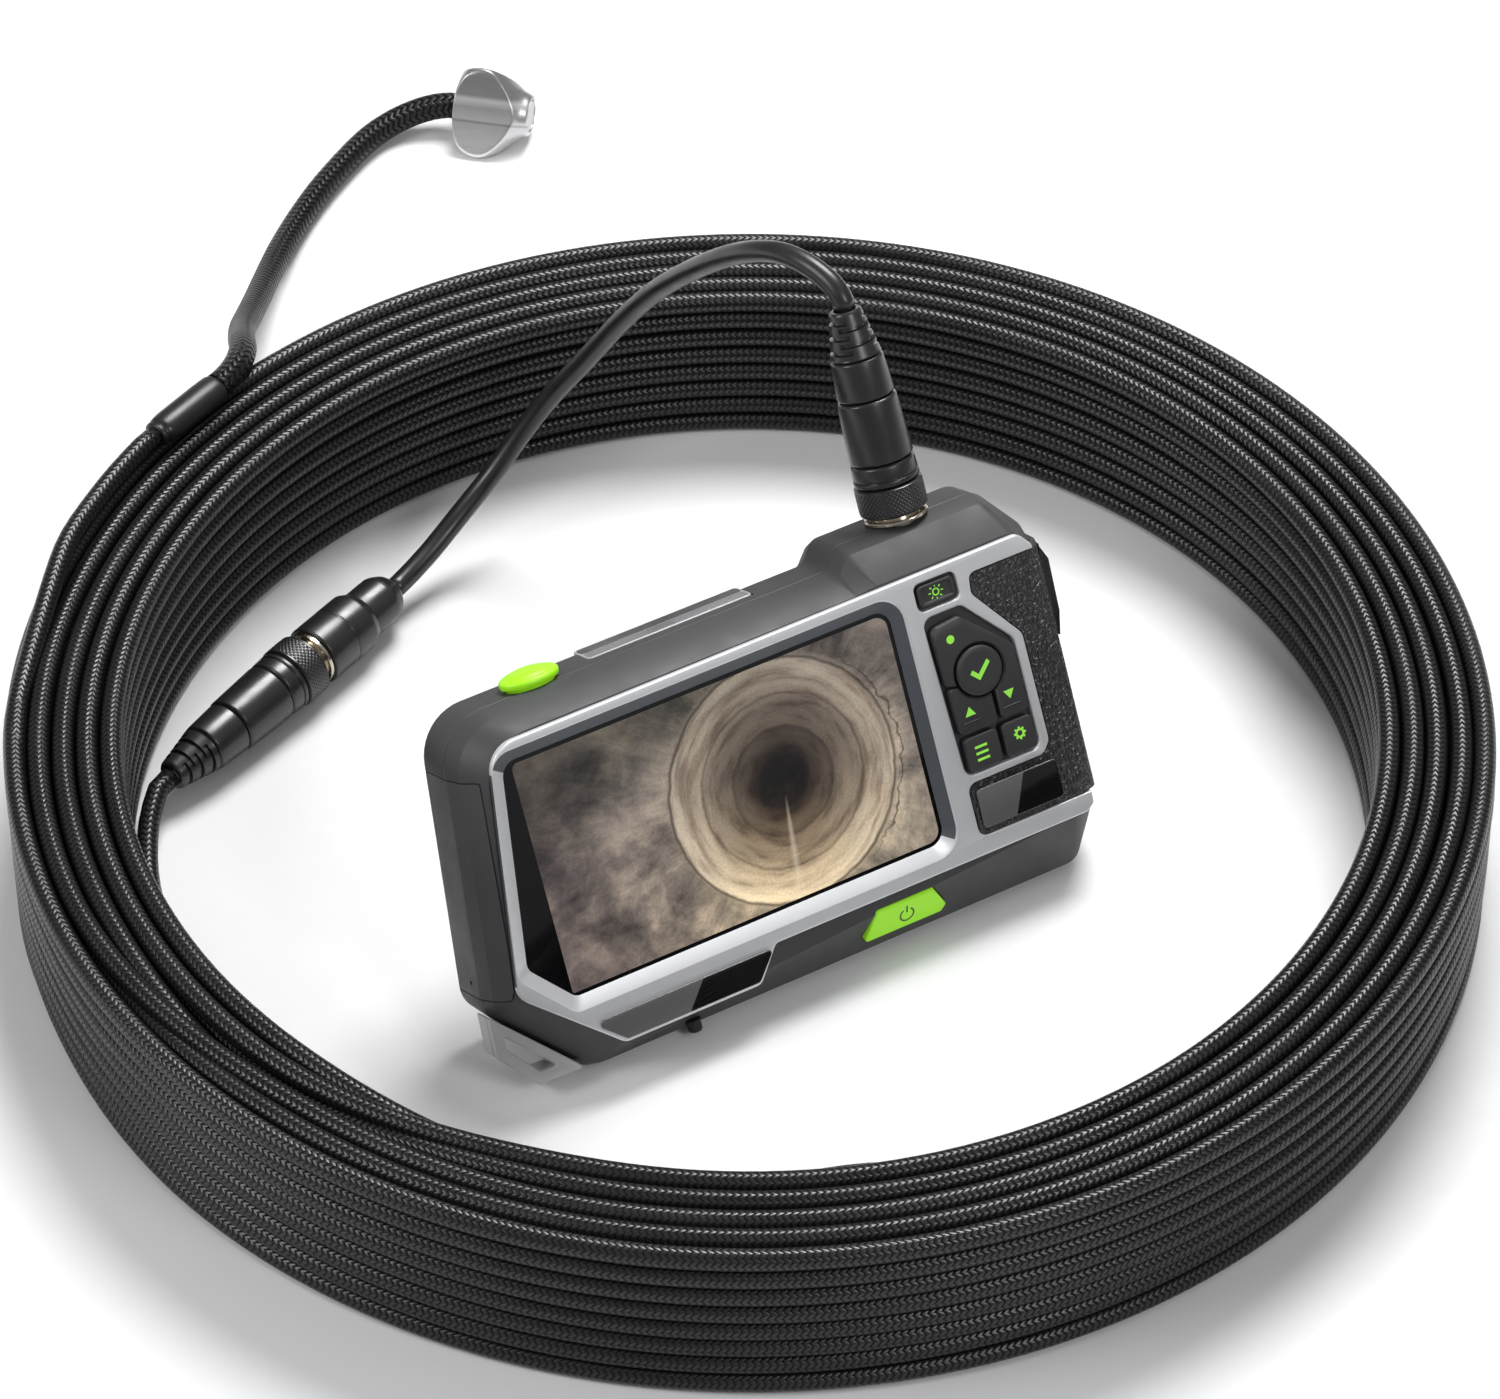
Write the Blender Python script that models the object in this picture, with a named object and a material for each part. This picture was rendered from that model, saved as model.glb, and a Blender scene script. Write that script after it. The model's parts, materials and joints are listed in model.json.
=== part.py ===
"""Pipe inspection camera: a screen handset standing on its lower edge, its screw plug and lead, an inline
connector, a coil of push cable, a gooseneck and a steel camera head.

Metres, +Z up. The handset's width runs along X and its screen faces -Y. The handset is modelled upright in
its own frame (x right, y into the case, z up the face, all zero at the screen frame's front, the lower edge
and the middle of the width) and hangs from one empty that leans it back."""

import math

import bmesh
import bpy
from mathutils import Matrix, Vector

MM = 0.001
GAP = 0.3  # clearance between touching pieces; lengths in this file are millimetres

# Handset
LEAN = 28.0  # degrees that the face leans back
CASE_X = -0.9  # handset middle, so that the object's box is centred on X = 0
CONTACT_Y = -34.0  # where the widest section's lower edge meets the floor
FRONT = 2.1  # depth of the front shell's face, behind the bezel
RIDGE = 10.0  # depth where the sloping band turns into the side
PARTING = 16.0  # depth of the widest section
REAR_EDGE = 30.0  # depth where the rear shell starts to close in
BACK = 38.0  # depth of the rear face
WALL = 2.4
FLOOR_SLOPE = math.tan(math.radians(LEAN))

# Outline of the widest section: (x, z, corner radius), clockwise seen from the front
CASE_OUTLINE = [
    (-73.4, 0.0, 8.0),
    (-98.2, 26.5, 8.0),
    (-88.4, 109.5, 15.0),
    (35.6, 109.5, 4.0),
    (40.0, 115.5, 4.0),
    (86.5, 115.5, 6.0),
    (98.4, 101.0, 6.0),
    (98.4, 15.0, 5.0),
    (88.0, 0.0, 6.0),
]
# How far each of those corners has moved in at the ridge and at the front: (dx, dz)
RIDGE_SHIFT = [(0.8, 1.8), (1.4, 0.8), (1.2, -1.6), (0.4, -1.6), (0.6, -1.9), (-0.8, -1.9), (-2.0, -0.8),
               (-2.0, 1.2), (-0.6, 1.8)]
FRONT_SHIFT = [(8.4, 8.2), (5.0, 6.6), (6.4, -5.4), (1.0, -5.2), (3.6, -10.6), (3.0, -10.6), (-5.6, -4.0),
               (-5.6, 5.0), (-1.0, 18.0)]
REAR_SHIFT = [(2.6, 0.0), (3.6, 1.0), (3.2, -3.4), (1.0, -3.4), (1.6, -3.6), (-1.6, -3.6), (-3.6, -1.6),
              (-3.6, 2.0), (-2.6, 0.0)]

# Bezel, glass and key wells, as seen from the front
BEZEL_OUTLINE = [
    (-65.2, 8.4, 4.0),
    (-92.6, 32.6, 6.0),
    (-81.7, 103.6, 9.0),
    (89.0, 104.4, 4.0),
    (92.6, 100.0, 2.0),
    (92.6, 20.0, 2.0),
    (90.0, 18.2, 1.5),
    (-14.0, 18.2, 2.0),
    (-21.4, 8.4, 3.0),
]
GLASS_OUTLINE = [
    (-75.5, 26.0, 4.0),
    (-87.4, 39.0, 4.0),
    (-78.8, 97.8, 5.0),
    (45.0, 97.8, 5.0),
    (45.0, 26.0, 5.0),
]
SCREEN_OPENING = [
    (-77.0, 22.4, 5.0),
    (-91.2, 37.8, 5.0),
    (-82.3, 101.3, 7.0),
    (48.8, 101.3, 8.0),
    (48.8, 22.4, 8.0),
]
LIGHT_WELL = [(53.4, 93.2, 2.0), (53.4, 101.5, 2.0), (67.0, 101.5, 2.0), (67.0, 93.2, 2.0)]
KEY_WELL = [
    (55.4, 42.2, 3.0),
    (53.8, 91.0, 3.0),
    (66.6, 91.0, 3.0),
    (80.0, 76.0, 4.0),
    (80.2, 42.2, 3.0),
]
GRIP_PANEL = [
    (55.3, 24.0, 2.5),
    (55.3, 39.6, 2.5),
    (80.8, 39.6, 2.5),
    (83.6, 43.0, 2.5),
    (83.4, 76.4, 4.0),
    (70.8, 93.0, 3.0),
    (71.4, 98.6, 2.0),
    (110.0, 98.6, 0.5),
    (110.0, 24.0, 0.5),
]

# Keys
KEY_FRONT = -1.4
KEY_BACK = 1.1
SHUTTER_CENTRE = (-56.7, 21.5, 109.5)
OK_CENTRE = (66.6, 71.3)
OK_RADIUS = 7.3

# Case screws through the back, as (x, z)
SCREW_PLACES = [(-70.0, 101.2), (78.0, 104.4), (-68.0, 20.8), (64.0, 20.4)]

# Kickstand
STAND_OPEN = 48.0  # degrees from the back
STAND_LENGTH = 64.3

# Screw connectors, from the thread to the cable: (name, length, radius at start, radius at end)
PLUG_SECTIONS = [
    ("nut", 8.9, 10.0, 10.0),
    ("collar", 6.8, 9.6, 9.2),
    ("body", 18.7, 9.3, 8.6),
    ("barrel", 12.0, 8.3, 7.6),
    ("boot", 14.0, 7.4, 4.6),
]
SOCKET_X = 62.9
SOCKET_Y = 20.0
SHOULDER_Z = 115.5
NUT_START_Z = 118.2
THREAD_RADIUS = 7.0
BORE_RADIUS = 7.4

# Push cable
CABLE_D = 6.8
LEAD_D = 6.4
GOOSENECK_D = 8.4
COIL_INNER = 178.5
COIL_COLUMNS = 5
COIL_ROWS = 8
COIL_OUTER = COIL_INNER + COIL_COLUMNS * CABLE_D
COIL_HEIGHT = COIL_ROWS * CABLE_D
COIL_X = CASE_X + 13.2
COIL_Y = CONTACT_Y + 55.1

# Inline connector: it lies on the floor inside the coil; places from here on are from the coil's centre
JOINT_START = (-43.6, 137.1)
JOINT_HEADING = 202.2  # degrees from +X, towards the push cable
JOINT_AXIS_Z = 10.1
JOINT_NUT_START = 41.0

LEAD_ROUTE = [
    (48.6, 40.2, 161.6),
    (46.4, 47.2, 162.8),
    (44.1, 56.5, 161.0),
    (41.7, 66.9, 155.4),
    (39.6, 78.1, 146.8),
    (37.9, 89.6, 136.0),
    (36.5, 101.2, 124.0),
    (35.0, 112.1, 111.7),
    (33.2, 121.3, 99.5),
    (30.7, 128.8, 88.0),
    (27.7, 134.6, 77.5),
    (24.0, 139.3, 68.0),
    (19.6, 143.3, 59.5),
    (14.9, 146.2, 51.6),
    (9.9, 147.9, 44.2),
    (4.8, 148.7, 37.3),
    (-0.6, 148.7, 31.0),
    (-6.7, 148.2, 25.6),
    (-13.3, 147.1, 21.0),
    (-20.0, 145.5, 16.9),
    (-27.3, 143.1, 13.5),
]
TAIL_ROUTE = [
    (-142.5, 96.3, 10.0),
    (-145.7, 94.0, 9.6),
    (-148.4, 91.2, 8.8),
    (-150.9, 87.6, 7.6),
    (-154.8, 80.6, 5.4),
    (-158.6, 73.2, 3.9),
    (-162.1, 63.8, 3.6),
    (-165.2, 49.9, 3.6),
    (-167.8, 29.6, 3.6),
    (-168.5, 5.9, 3.6),
    (-166.2, -23.4, 3.6),
    (-157.5, -57.3, 3.6),
    (-142.1, -88.8, 3.6),
    (-120.6, -116.5, 3.6),
    (-93.9, -139.2, 3.6),
    (-73.7, -151.2, 3.6),
    (-57.7, -158.4, 3.6),
    (-48.4, -162.3, 6.3),
    (-41.7, -165.4, 13.7),
    (-39.4, -167.4, 23.8),
    (-42.3, -168.0, 33.9),
    (-49.8, -166.8, 41.3),
    (-59.7, -164.1, 44.0),
    (-73.8, -158.3, 43.2),
    (-88.7, -150.5, 39.4),
    (-102.7, -141.3, 32.2),
    (-115.8, -130.8, 22.6),
    (-127.8, -119.1, 13.2),
    (-137.6, -107.5, 6.8),
    (-146.3, -95.0, 4.0),
    (-154.1, -81.9, 3.6),
]
EXIT_ROUTE = [
    (-140.6, 154.8, 58.2),
    (-132.0, 162.1, 58.2),
    (-122.8, 169.0, 58.3),
    (-114.6, 174.6, 58.8),
]
SLEEVE_START = (-96.2, 183.7, 59.7)
SLEEVE_END = (-70.6, 194.1, 59.7)
NECK_ROUTE = [
    (-61.4, 199.2, 59.5),
    (-57.3, 203.9, 58.5),
    (-53.6, 210.1, 55.8),
    (-50.0, 218.4, 50.6),
    (-45.4, 228.6, 43.0),
    (-38.4, 242.6, 33.6),
    (-29.5, 256.2, 25.4),
    (-19.6, 270.6, 17.6),
    (-8.4, 286.0, 10.8),
    (3.4, 300.2, 6.6),
    (16.0, 312.4, 4.6),
    (29.0, 322.6, 4.4),
    (42.6, 331.4, 4.4),
    (54.2, 337.8, 4.6),
    (61.8, 340.4, 5.0),
    (69.0, 340.8, 6.2),
    (75.0, 339.4, 7.8),
]
HEAD_START = (85.6, 333.2, 9.4)
HEAD_HEADING = -42.0
HEAD_LENGTH = 25.0
PAD_REACH = 9.0  # from the head's axis to each of its three flat pads
RUN_IN = 5.0  # straight length of cord where it meets a fitting

NODES = {}


# ---------------------------------------------------------------------------------------------
# Helpers


def material(name, colour, roughness, metallic=0.0, alpha=1.0):
    mat = bpy.data.materials.new(name)
    mat.use_nodes = True
    shader = mat.node_tree.nodes["Principled BSDF"]
    shader.inputs["Base Color"].default_value = (*colour, 1.0)
    shader.inputs["Roughness"].default_value = roughness
    shader.inputs["Metallic"].default_value = metallic
    shader.inputs["Alpha"].default_value = alpha
    return mat


def fillet(corners, steps=4):
    """The closed outline through (x, z, radius) corners, each rounded with the same number of points."""
    points = []
    count = len(corners)
    for index, (x, z, radius) in enumerate(corners):
        here = Vector((x, z))
        to_last = (Vector(corners[index - 1][:2]) - here).normalized()
        to_next = (Vector(corners[(index + 1) % count][:2]) - here).normalized()
        half = to_last.angle(to_next) / 2
        reach = radius / math.tan(half)
        centre = here + (to_last + to_next).normalized() * (radius / math.sin(half))
        start = here + to_last * reach - centre
        end = here + to_next * reach - centre
        sweep = start.angle_signed(end)
        for step in range(steps + 1):
            turned = start.copy()
            turned.rotate(Matrix.Rotation(-sweep * step / steps, 2))
            points.append(centre + turned)
    return points


def inset(corners, amount):
    """The corners moved inwards by the amount; negative moves them out. The outline runs clockwise."""
    moved = []
    count = len(corners)
    for index, (x, z, radius) in enumerate(corners):
        here = Vector((x, z))
        a = (here - Vector(corners[index - 1][:2])).normalized()
        b = (Vector(corners[(index + 1) % count][:2]) - here).normalized()
        inward_a = Vector((a.y, -a.x))
        inward_b = Vector((b.y, -b.x))
        bisector = (inward_a + inward_b).normalized()
        shift = bisector * (amount / max(bisector.dot(inward_a), 0.3))
        moved.append((x + shift.x, z + shift.y, max(radius - amount, 0.5)))
    return moved


def shifted(corners, shifts):
    return [(x + dx, z + dz, r) for (x, z, r), (dx, dz) in zip(corners, shifts)]


def on_slope(corners, depth):
    """The corners with the lowest two raised so that the underside lies on the floor."""
    rise = max(depth - PARTING, 0.0) * FLOOR_SLOPE
    return [(x, z + rise * (index in (0, len(corners) - 1)), r) for index, (x, z, r) in enumerate(corners)]


def mesh_object(name, mesh, mat=None, parent=None, hidden=False):
    obj = bpy.data.objects.new(name, mesh)
    bpy.context.scene.collection.objects.link(obj)
    if mat:
        mesh.materials.append(mat)
    if parent:
        obj.parent = parent
    if hidden:
        obj.hide_render = True
        obj.display_type = "WIRE"
    else:
        NODES[name] = obj
    return obj


def from_bmesh(name, bm, mat=None, parent=None, hidden=False, smooth=0.0):
    bmesh.ops.recalc_face_normals(bm, faces=bm.faces)
    bmesh.ops.scale(bm, vec=(MM, MM, MM), verts=bm.verts)
    mesh = bpy.data.meshes.new(name)
    bm.to_mesh(mesh)
    bm.free()
    if smooth:
        mesh.shade_smooth()
        mesh.set_sharp_from_angle(angle=math.radians(smooth))
    return mesh_object(name, mesh, mat, parent, hidden)


def skin(bm, rings):
    """Closed body through rings of matching points."""
    loops = [[bm.verts.new(point) for point in ring] for ring in rings]
    count = len(loops[0])
    for low, high in zip(loops, loops[1:]):
        for index in range(count):
            after = (index + 1) % count
            bm.faces.new((low[index], low[after], high[after], high[index]))
    bm.faces.new(loops[0])
    bm.faces.new(list(reversed(loops[-1])))


def loft(name, sections, mat=None, parent=None, hidden=False, steps=4, smooth=30.0):
    """A body through (depth, corners) sections of the handset."""
    bm = bmesh.new()
    skin(bm, [[(p.x, depth, p.y) for p in fillet(corners, steps)] for depth, corners in sections])
    return from_bmesh(name, bm, mat, parent, hidden, smooth)


def plate(name, corners, front, back, mat=None, parent=None, hidden=False, chamfer=0.0, steps=4):
    """A flat plate of the handset, with its front edge chamfered."""
    sections = [(front, inset(corners, chamfer)),
                (front + chamfer, corners)] if chamfer else [(front, corners)]
    return loft(name, sections + [(back, corners)], mat, parent, hidden, steps)


def prism_x(name, profile, x0, x1, mat=None, parent=None, hidden=False):
    """A (y, z) profile carried along x."""
    bm = bmesh.new()
    skin(bm, [[(x, y, z) for y, z in profile] for x in (x0, x1)])
    return from_bmesh(name, bm, mat, parent, hidden)


def prism_z(name, profile, z0, z1, mat=None, parent=None, hidden=False):
    """An (x, y) profile carried along z."""
    bm = bmesh.new()
    skin(bm, [[(x, y, z) for x, y in profile] for z in (z0, z1)])
    return from_bmesh(name, bm, mat, parent, hidden)


def box(name, low, high, mat=None, parent=None, hidden=False):
    return prism_x(name, [(low[1], low[2]), (high[1], low[2]), (high[1], high[2]), (low[1], high[2])],
                   low[0], high[0], mat, parent, hidden)


def turned(name, profile, mat=None, parent=None, hidden=False, segments=32, place=None, squash=1.0):
    """A body turned about z from a closed or axis-to-axis (radius, z) profile, moved by a matrix."""
    bm = bmesh.new()
    loops = []
    for radius, z in profile:
        if radius == 0:
            loops.append([bm.verts.new((0, 0, z))])
            continue
        angles = [2 * math.pi * index / segments for index in range(segments)]
        loops.append([bm.verts.new((radius * math.cos(a), squash * radius * math.sin(a),
                                    z)) for a in angles])
    pairs = list(zip(loops, loops[1:]))
    if profile[0][0] != 0:
        pairs.append((loops[-1], loops[0]))
    for low, high in pairs:
        for index in range(segments):
            after = (index + 1) % segments
            ring = [low[index % len(low)], low[after % len(low)], high[after % len(high)],
                    high[index % len(high)]]
            bm.faces.new(list(dict.fromkeys(ring)))
    if place:
        place = place.copy()
        place.translation = place.translation / MM
        bmesh.ops.transform(bm, matrix=place, verts=bm.verts)
    return from_bmesh(name, bm, mat, parent, hidden, 35.0)


def boolean(obj, operation, *others):
    for other in others:
        modifier = obj.modifiers.new(f"{operation.lower()} {other.name}", "BOOLEAN")
        modifier.operation = operation
        modifier.object = other
        modifier.solver = "EXACT"


def empty(name, location, rotation=(0, 0, 0)):
    obj = bpy.data.objects.new(name, None)
    bpy.context.scene.collection.objects.link(obj)
    obj.location = Vector(location) * MM
    obj.rotation_euler = rotation
    return obj


def move_origin(obj, point):
    """Puts the object's origin on a point of its parent's frame, without moving its shape."""
    offset = Vector(point) * MM
    obj.data.transform(Matrix.Translation(-offset))
    obj.location = offset


def heading_matrix(start, direction):
    """Places something built along +z at a point, with its +y as near up as it can be."""
    ahead = Vector(direction).normalized()
    side = Vector((0, 0, 1)).cross(ahead) if abs(ahead.z) < 0.99 else Vector((1, 0, 0))
    side.normalize()
    turn = Matrix((side, ahead.cross(side), ahead)).transposed().to_4x4()
    return Matrix.Translation(Vector(start) * MM) @ turn


def smooth_route(points, spacing):
    """Points at an even spacing along a Catmull-Rom curve through the route's own points."""
    knots = [Vector(p) for p in points]
    ends = [2 * knots[0] - knots[1]] + knots + [2 * knots[-1] - knots[-2]]
    fine = []
    for a, b, c, d in zip(ends, ends[1:], ends[2:], ends[3:]):
        for step in range(24):
            t = step / 24
            fine.append(0.5 * ((2 * b) + (c - a) * t + (2 * a - 5 * b + 4 * c - d) * t ** 2
                               + (3 * b - a - 3 * c + d) * t ** 3))
    fine.append(knots[-1])
    total = sum((q - p).length for p, q in zip(fine, fine[1:]))
    count = max(2, round(total / spacing))
    result = [fine[0]]
    walked = 0.0
    for p, q in zip(fine, fine[1:]):
        step = (q - p).length
        while len(result) < count and walked + step >= total * len(result) / count:
            result.append(p.lerp(q, (total * len(result) / count - walked) / step))
        walked += step
    result.append(fine[-1])
    return result


def tube(name, points, diameter, mat, spacing=2.6, sides=2):
    """A cord: a round curve through a smooth route in the coil's frame, straight at both ends."""
    curve = bpy.data.curves.new(name, "CURVE")
    curve.dimensions = "3D"
    curve.bevel_depth = diameter / 2 * MM
    curve.bevel_resolution = sides
    curve.use_fill_caps = True
    route = [points[0]] + smooth_route(points[1:-1], diameter * spacing) + [points[-1]]
    spline = curve.splines.new("POLY")
    spline.points.add(len(route) - 1)
    for point, place in zip(spline.points, route):
        point.co = (*(Vector(place) * MM), 1.0)
    curve.materials.append(mat)
    obj = bpy.data.objects.new(name, curve)
    bpy.context.scene.collection.objects.link(obj)
    obj.location = Vector((COIL_X, COIL_Y, 0)) * MM
    NODES[name] = obj
    return obj


def in_coil(point):
    """A place given from the coil's centre, in the object's frame."""
    return Vector((point[0] + COIL_X, point[1] + COIL_Y, point[2]))


# ---------------------------------------------------------------------------------------------
# Handset casing


def front_corners():
    return shifted(CASE_OUTLINE, FRONT_SHIFT)


def ridge_corners():
    return shifted(CASE_OUTLINE, RIDGE_SHIFT)


def case_sections(first, last):
    """Outer skin sections of the whole case between two depths."""
    rear = shifted(CASE_OUTLINE, REAR_SHIFT)
    known = [
        (FRONT, front_corners()),
        (RIDGE, ridge_corners()),
        (PARTING, CASE_OUTLINE),
        (REAR_EDGE, on_slope(CASE_OUTLINE, REAR_EDGE)),
        (BACK, on_slope(rear, BACK)),
    ]
    sections = []
    for depth in sorted({first, last} | {d for d, _ in known if first < d < last}):
        for (low, a), (high, b) in zip(known, known[1:]):
            if low <= depth <= high:
                part = (depth - low) / (high - low)
                corners = [tuple(u + (v - u) * part for u, v in zip(p, q)) for p, q in zip(a, b)]
                break
        sections.append((depth, corners))
    return sections


def cavity_sections(depths):
    """The hollow inside the shells, with a thicker wall on the left, behind the bumper."""
    sections = []
    for depth in depths:
        corners = inset(case_sections(depth, depth + 0.001)[0][1], WALL)
        corners = [(x + 3.0 * (index in (1, 2)), z, r) for index, (x, z, r) in enumerate(corners)]
        sections.append((depth, corners))
    return sections


def grip_profile(clearance):
    """The grip's section across the right side, as (x, y) points; the clearance widens its inner side."""
    outer = [(55.3, 0.1), (90.4, 0.1), (95.2, 2.4), (97.6, 8.0), (98.4, 16.0), (98.4, 30.0), (95.6, 39.4),
             (72.0, 39.4)]
    inner = [(72.0, 38.3), (94.6, 38.3), (96.0, 30.0), (96.0, 16.4), (95.4, 8.8), (93.6, 4.0), (90.0, 1.8),
             (55.3, 1.8)]
    if not clearance:
        return outer + inner
    far = [(40.0, -6.0), (120.0, -6.0), (120.0, 50.0), (60.0, 50.0), (60.0, 38.0)]
    return far + [(71.6, 38.0), (94.3, 38.0), (95.7, 30.0), (95.7, 16.4), (95.1, 9.0), (93.2, 4.3),
                  (90.0, 2.1), (40.0, 2.1)]


def bumper_region(clearance):
    """The left-hand strip that the bumper fills: near the bezel at the front, 2.4 mm thick at the side."""
    def corners(reach):
        edge = reach + clearance
        return [(-120.0, 27.0 - clearance, 0.5), (-120.0, 98.4 + clearance, 0.5),
                (-89.6 + edge, 93.6 + clearance, 0.5), (-97.4 + edge, 31.4 - clearance, 0.5)]
    return [(FRONT - 1, corners(4.6)), (5.0, corners(4.2)), (9.0, corners(2.4)),
            (32.0 + clearance, corners(2.4))]


def build_casing(frame, mats):
    front = loft("front_shell", case_sections(FRONT, PARTING + 1.0), mats["case"], frame)
    rear = loft("rear_shell", case_sections(PARTING + 1.0 + GAP, BACK), mats["case"], frame)
    front_hollow = loft("cut_front_hollow", cavity_sections([3.8, RIDGE, PARTING, PARTING + 3]), None,
                        frame, True)
    rear_hollow = loft("cut_rear_hollow", cavity_sections([PARTING - 1, REAR_EDGE, 35.0]), None, frame,
                       True)
    window = plate("cut_window", inset(GLASS_OUTLINE, -1.6), -1.0, 6.0, None, frame, True)
    key_window = plate("cut_key_window", inset(KEY_WELL, -0.6), -1.0, 6.0, None, frame, True)
    light_window = plate("cut_light_window", inset(LIGHT_WELL, -0.4), -1.0, 6.0, None, frame, True)
    grip_cut = prism_z("cut_grip", grip_profile(GAP), 24.0 - GAP, 98.6 + GAP, None, frame, True)
    bumper_cut = loft("cut_bumper", bumper_region(GAP), None, frame, True)

    boolean(front, "DIFFERENCE", front_hollow)
    across = Matrix.Rotation(-math.pi / 2, 4, "X")
    for number, (x, z) in enumerate(SCREW_PLACES, 1):
        at = Matrix.Translation((x * MM, 0, z * MM)) @ across
        post = turned(f"join_post_{number}", [(0, 3.0), (3.4, 3.0), (3.4, 34.7), (0, 34.7)], None, frame,
                      True, 16, at)
        bore = turned(f"cut_post_{number}", [(0, 22), (1.7, 22), (1.7, 40), (0, 40)], None, frame, True,
                      16, at)
        boolean(front, "UNION", post)
        boolean(front, "DIFFERENCE", bore)
    boolean(front, "DIFFERENCE", window, key_window, light_window, grip_cut, bumper_cut)
    boolean(rear, "DIFFERENCE", rear_hollow, grip_cut, bumper_cut)

    bumper = loft("side_bumper", case_sections(FRONT + 0.1, REAR_EDGE), mats["guard"], frame)
    region = loft("keep_bumper", bumper_region(0.0), None, frame, True)
    mic_hole = turned("cut_mic_hole", [(0, -110), (0.7, -110), (0.7, -96.2), (0, -96.2)], None, frame,
                      True, 12,
                      Matrix.Translation((0, 0.021, 0.0345)) @ Matrix.Rotation(math.pi / 2, 4, "Y"))
    boolean(bumper, "INTERSECT", region)
    boolean(bumper, "DIFFERENCE", mic_hole)
    return front, rear


def build_bezel(frame, mats):
    bezel = plate("bezel", BEZEL_OUTLINE, 0.0, 1.8, mats["silver"], frame, chamfer=0.35)
    opening = loft("cut_screen_opening", [(-0.2, inset(SCREEN_OPENING, -0.2)), (0.0, SCREEN_OPENING),
                                          (1.8, inset(GLASS_OUTLINE, 0.2)),
                                          (2.4, inset(GLASS_OUTLINE, 0.2))],
                   None, frame, True)
    wells = [plate("cut_key_well", KEY_WELL, -1.0, 3.0, None, frame, True),
             plate("cut_light_well", LIGHT_WELL, -1.0, 3.0, None, frame, True),
             plate("cut_grip_panel", inset(GRIP_PANEL, -GAP), -1.0, 3.0, None, frame, True)]
    boolean(bezel, "DIFFERENCE", opening, *wells)

    plate("screen_glass", inset(GLASS_OUTLINE, -1.2), 2.1, 3.2, mats["glass"], frame)
    box("lcd_panel", (-71.0, 3.6, 29.0), (43.0, 7.2, 95.0), mats["dark"], frame)
    badge = [(-64.6, 9.5, 1.2), (-73.8, 17.6, 1.5), (-15.2, 17.6, 1.0), (-21.9, 9.5, 1.6)]
    plate("front_badge", badge, -0.75, -0.3, mats["badge"], frame)


def build_grip(frame, mats):
    grip = prism_z("grip", grip_profile(0.0), 24.0, 98.6, mats["leather"], frame)
    around = plate("cut_grip_front", GRIP_PANEL, -3.0, 3.0, None, frame, True)
    keep = box("keep_grip_back", (60.0, 2.2, 20.0), (110.0, 44.0, 101.0), None, frame, True)
    rest = bmesh.new()
    foot = [(96.6, 3.0), (96.6, 28.0)]
    rings = []
    for z, top, y0, y1 in ((69.5, 96.9, 4.0, 27.0), (74.5, 101.4, 7.0, 24.5), (90.5, 101.8, 7.0, 25.0),
                           (97.8, 97.0, 4.0, 28.0)):
        rings.append([(foot[0][0], y0, z), (top, y0 + 3.2, z), (top, y1 - 3.2, z), (foot[1][0], y1, z)])
    skin(rest, rings)
    thumb = from_bmesh("join_thumb_rest", rest, None, frame, True)
    boolean(grip, "INTERSECT", union_of("keep_grip", [around, keep]))
    boolean(grip, "UNION", thumb)
    badge = [(56.9, 25.9, 1.3), (56.9, 37.6, 1.3), (83.6, 37.6, 1.3), (83.6, 25.9, 1.3)]
    plate("side_badge", badge, -0.75, -0.2, mats["badge"], frame)


def union_of(name, objects):
    """One hidden body that joins others, for use as a cutter."""
    first = objects[0]
    boolean(first, "UNION", *objects[1:])
    first.name = name
    return first


# ---------------------------------------------------------------------------------------------
# Keys and buttons


def key_cap(name, corners, frame, mats, front=KEY_FRONT, chamfer=0.5):
    cap = plate(name, corners, front, KEY_BACK, mats["key"], frame, chamfer=chamfer)
    xs = [x for x, _, _ in corners]
    zs = [z for _, z, _ in corners]
    centre = ((min(xs) + max(xs)) / 2, KEY_BACK, (min(zs) + max(zs)) / 2)
    return cap, centre


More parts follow.
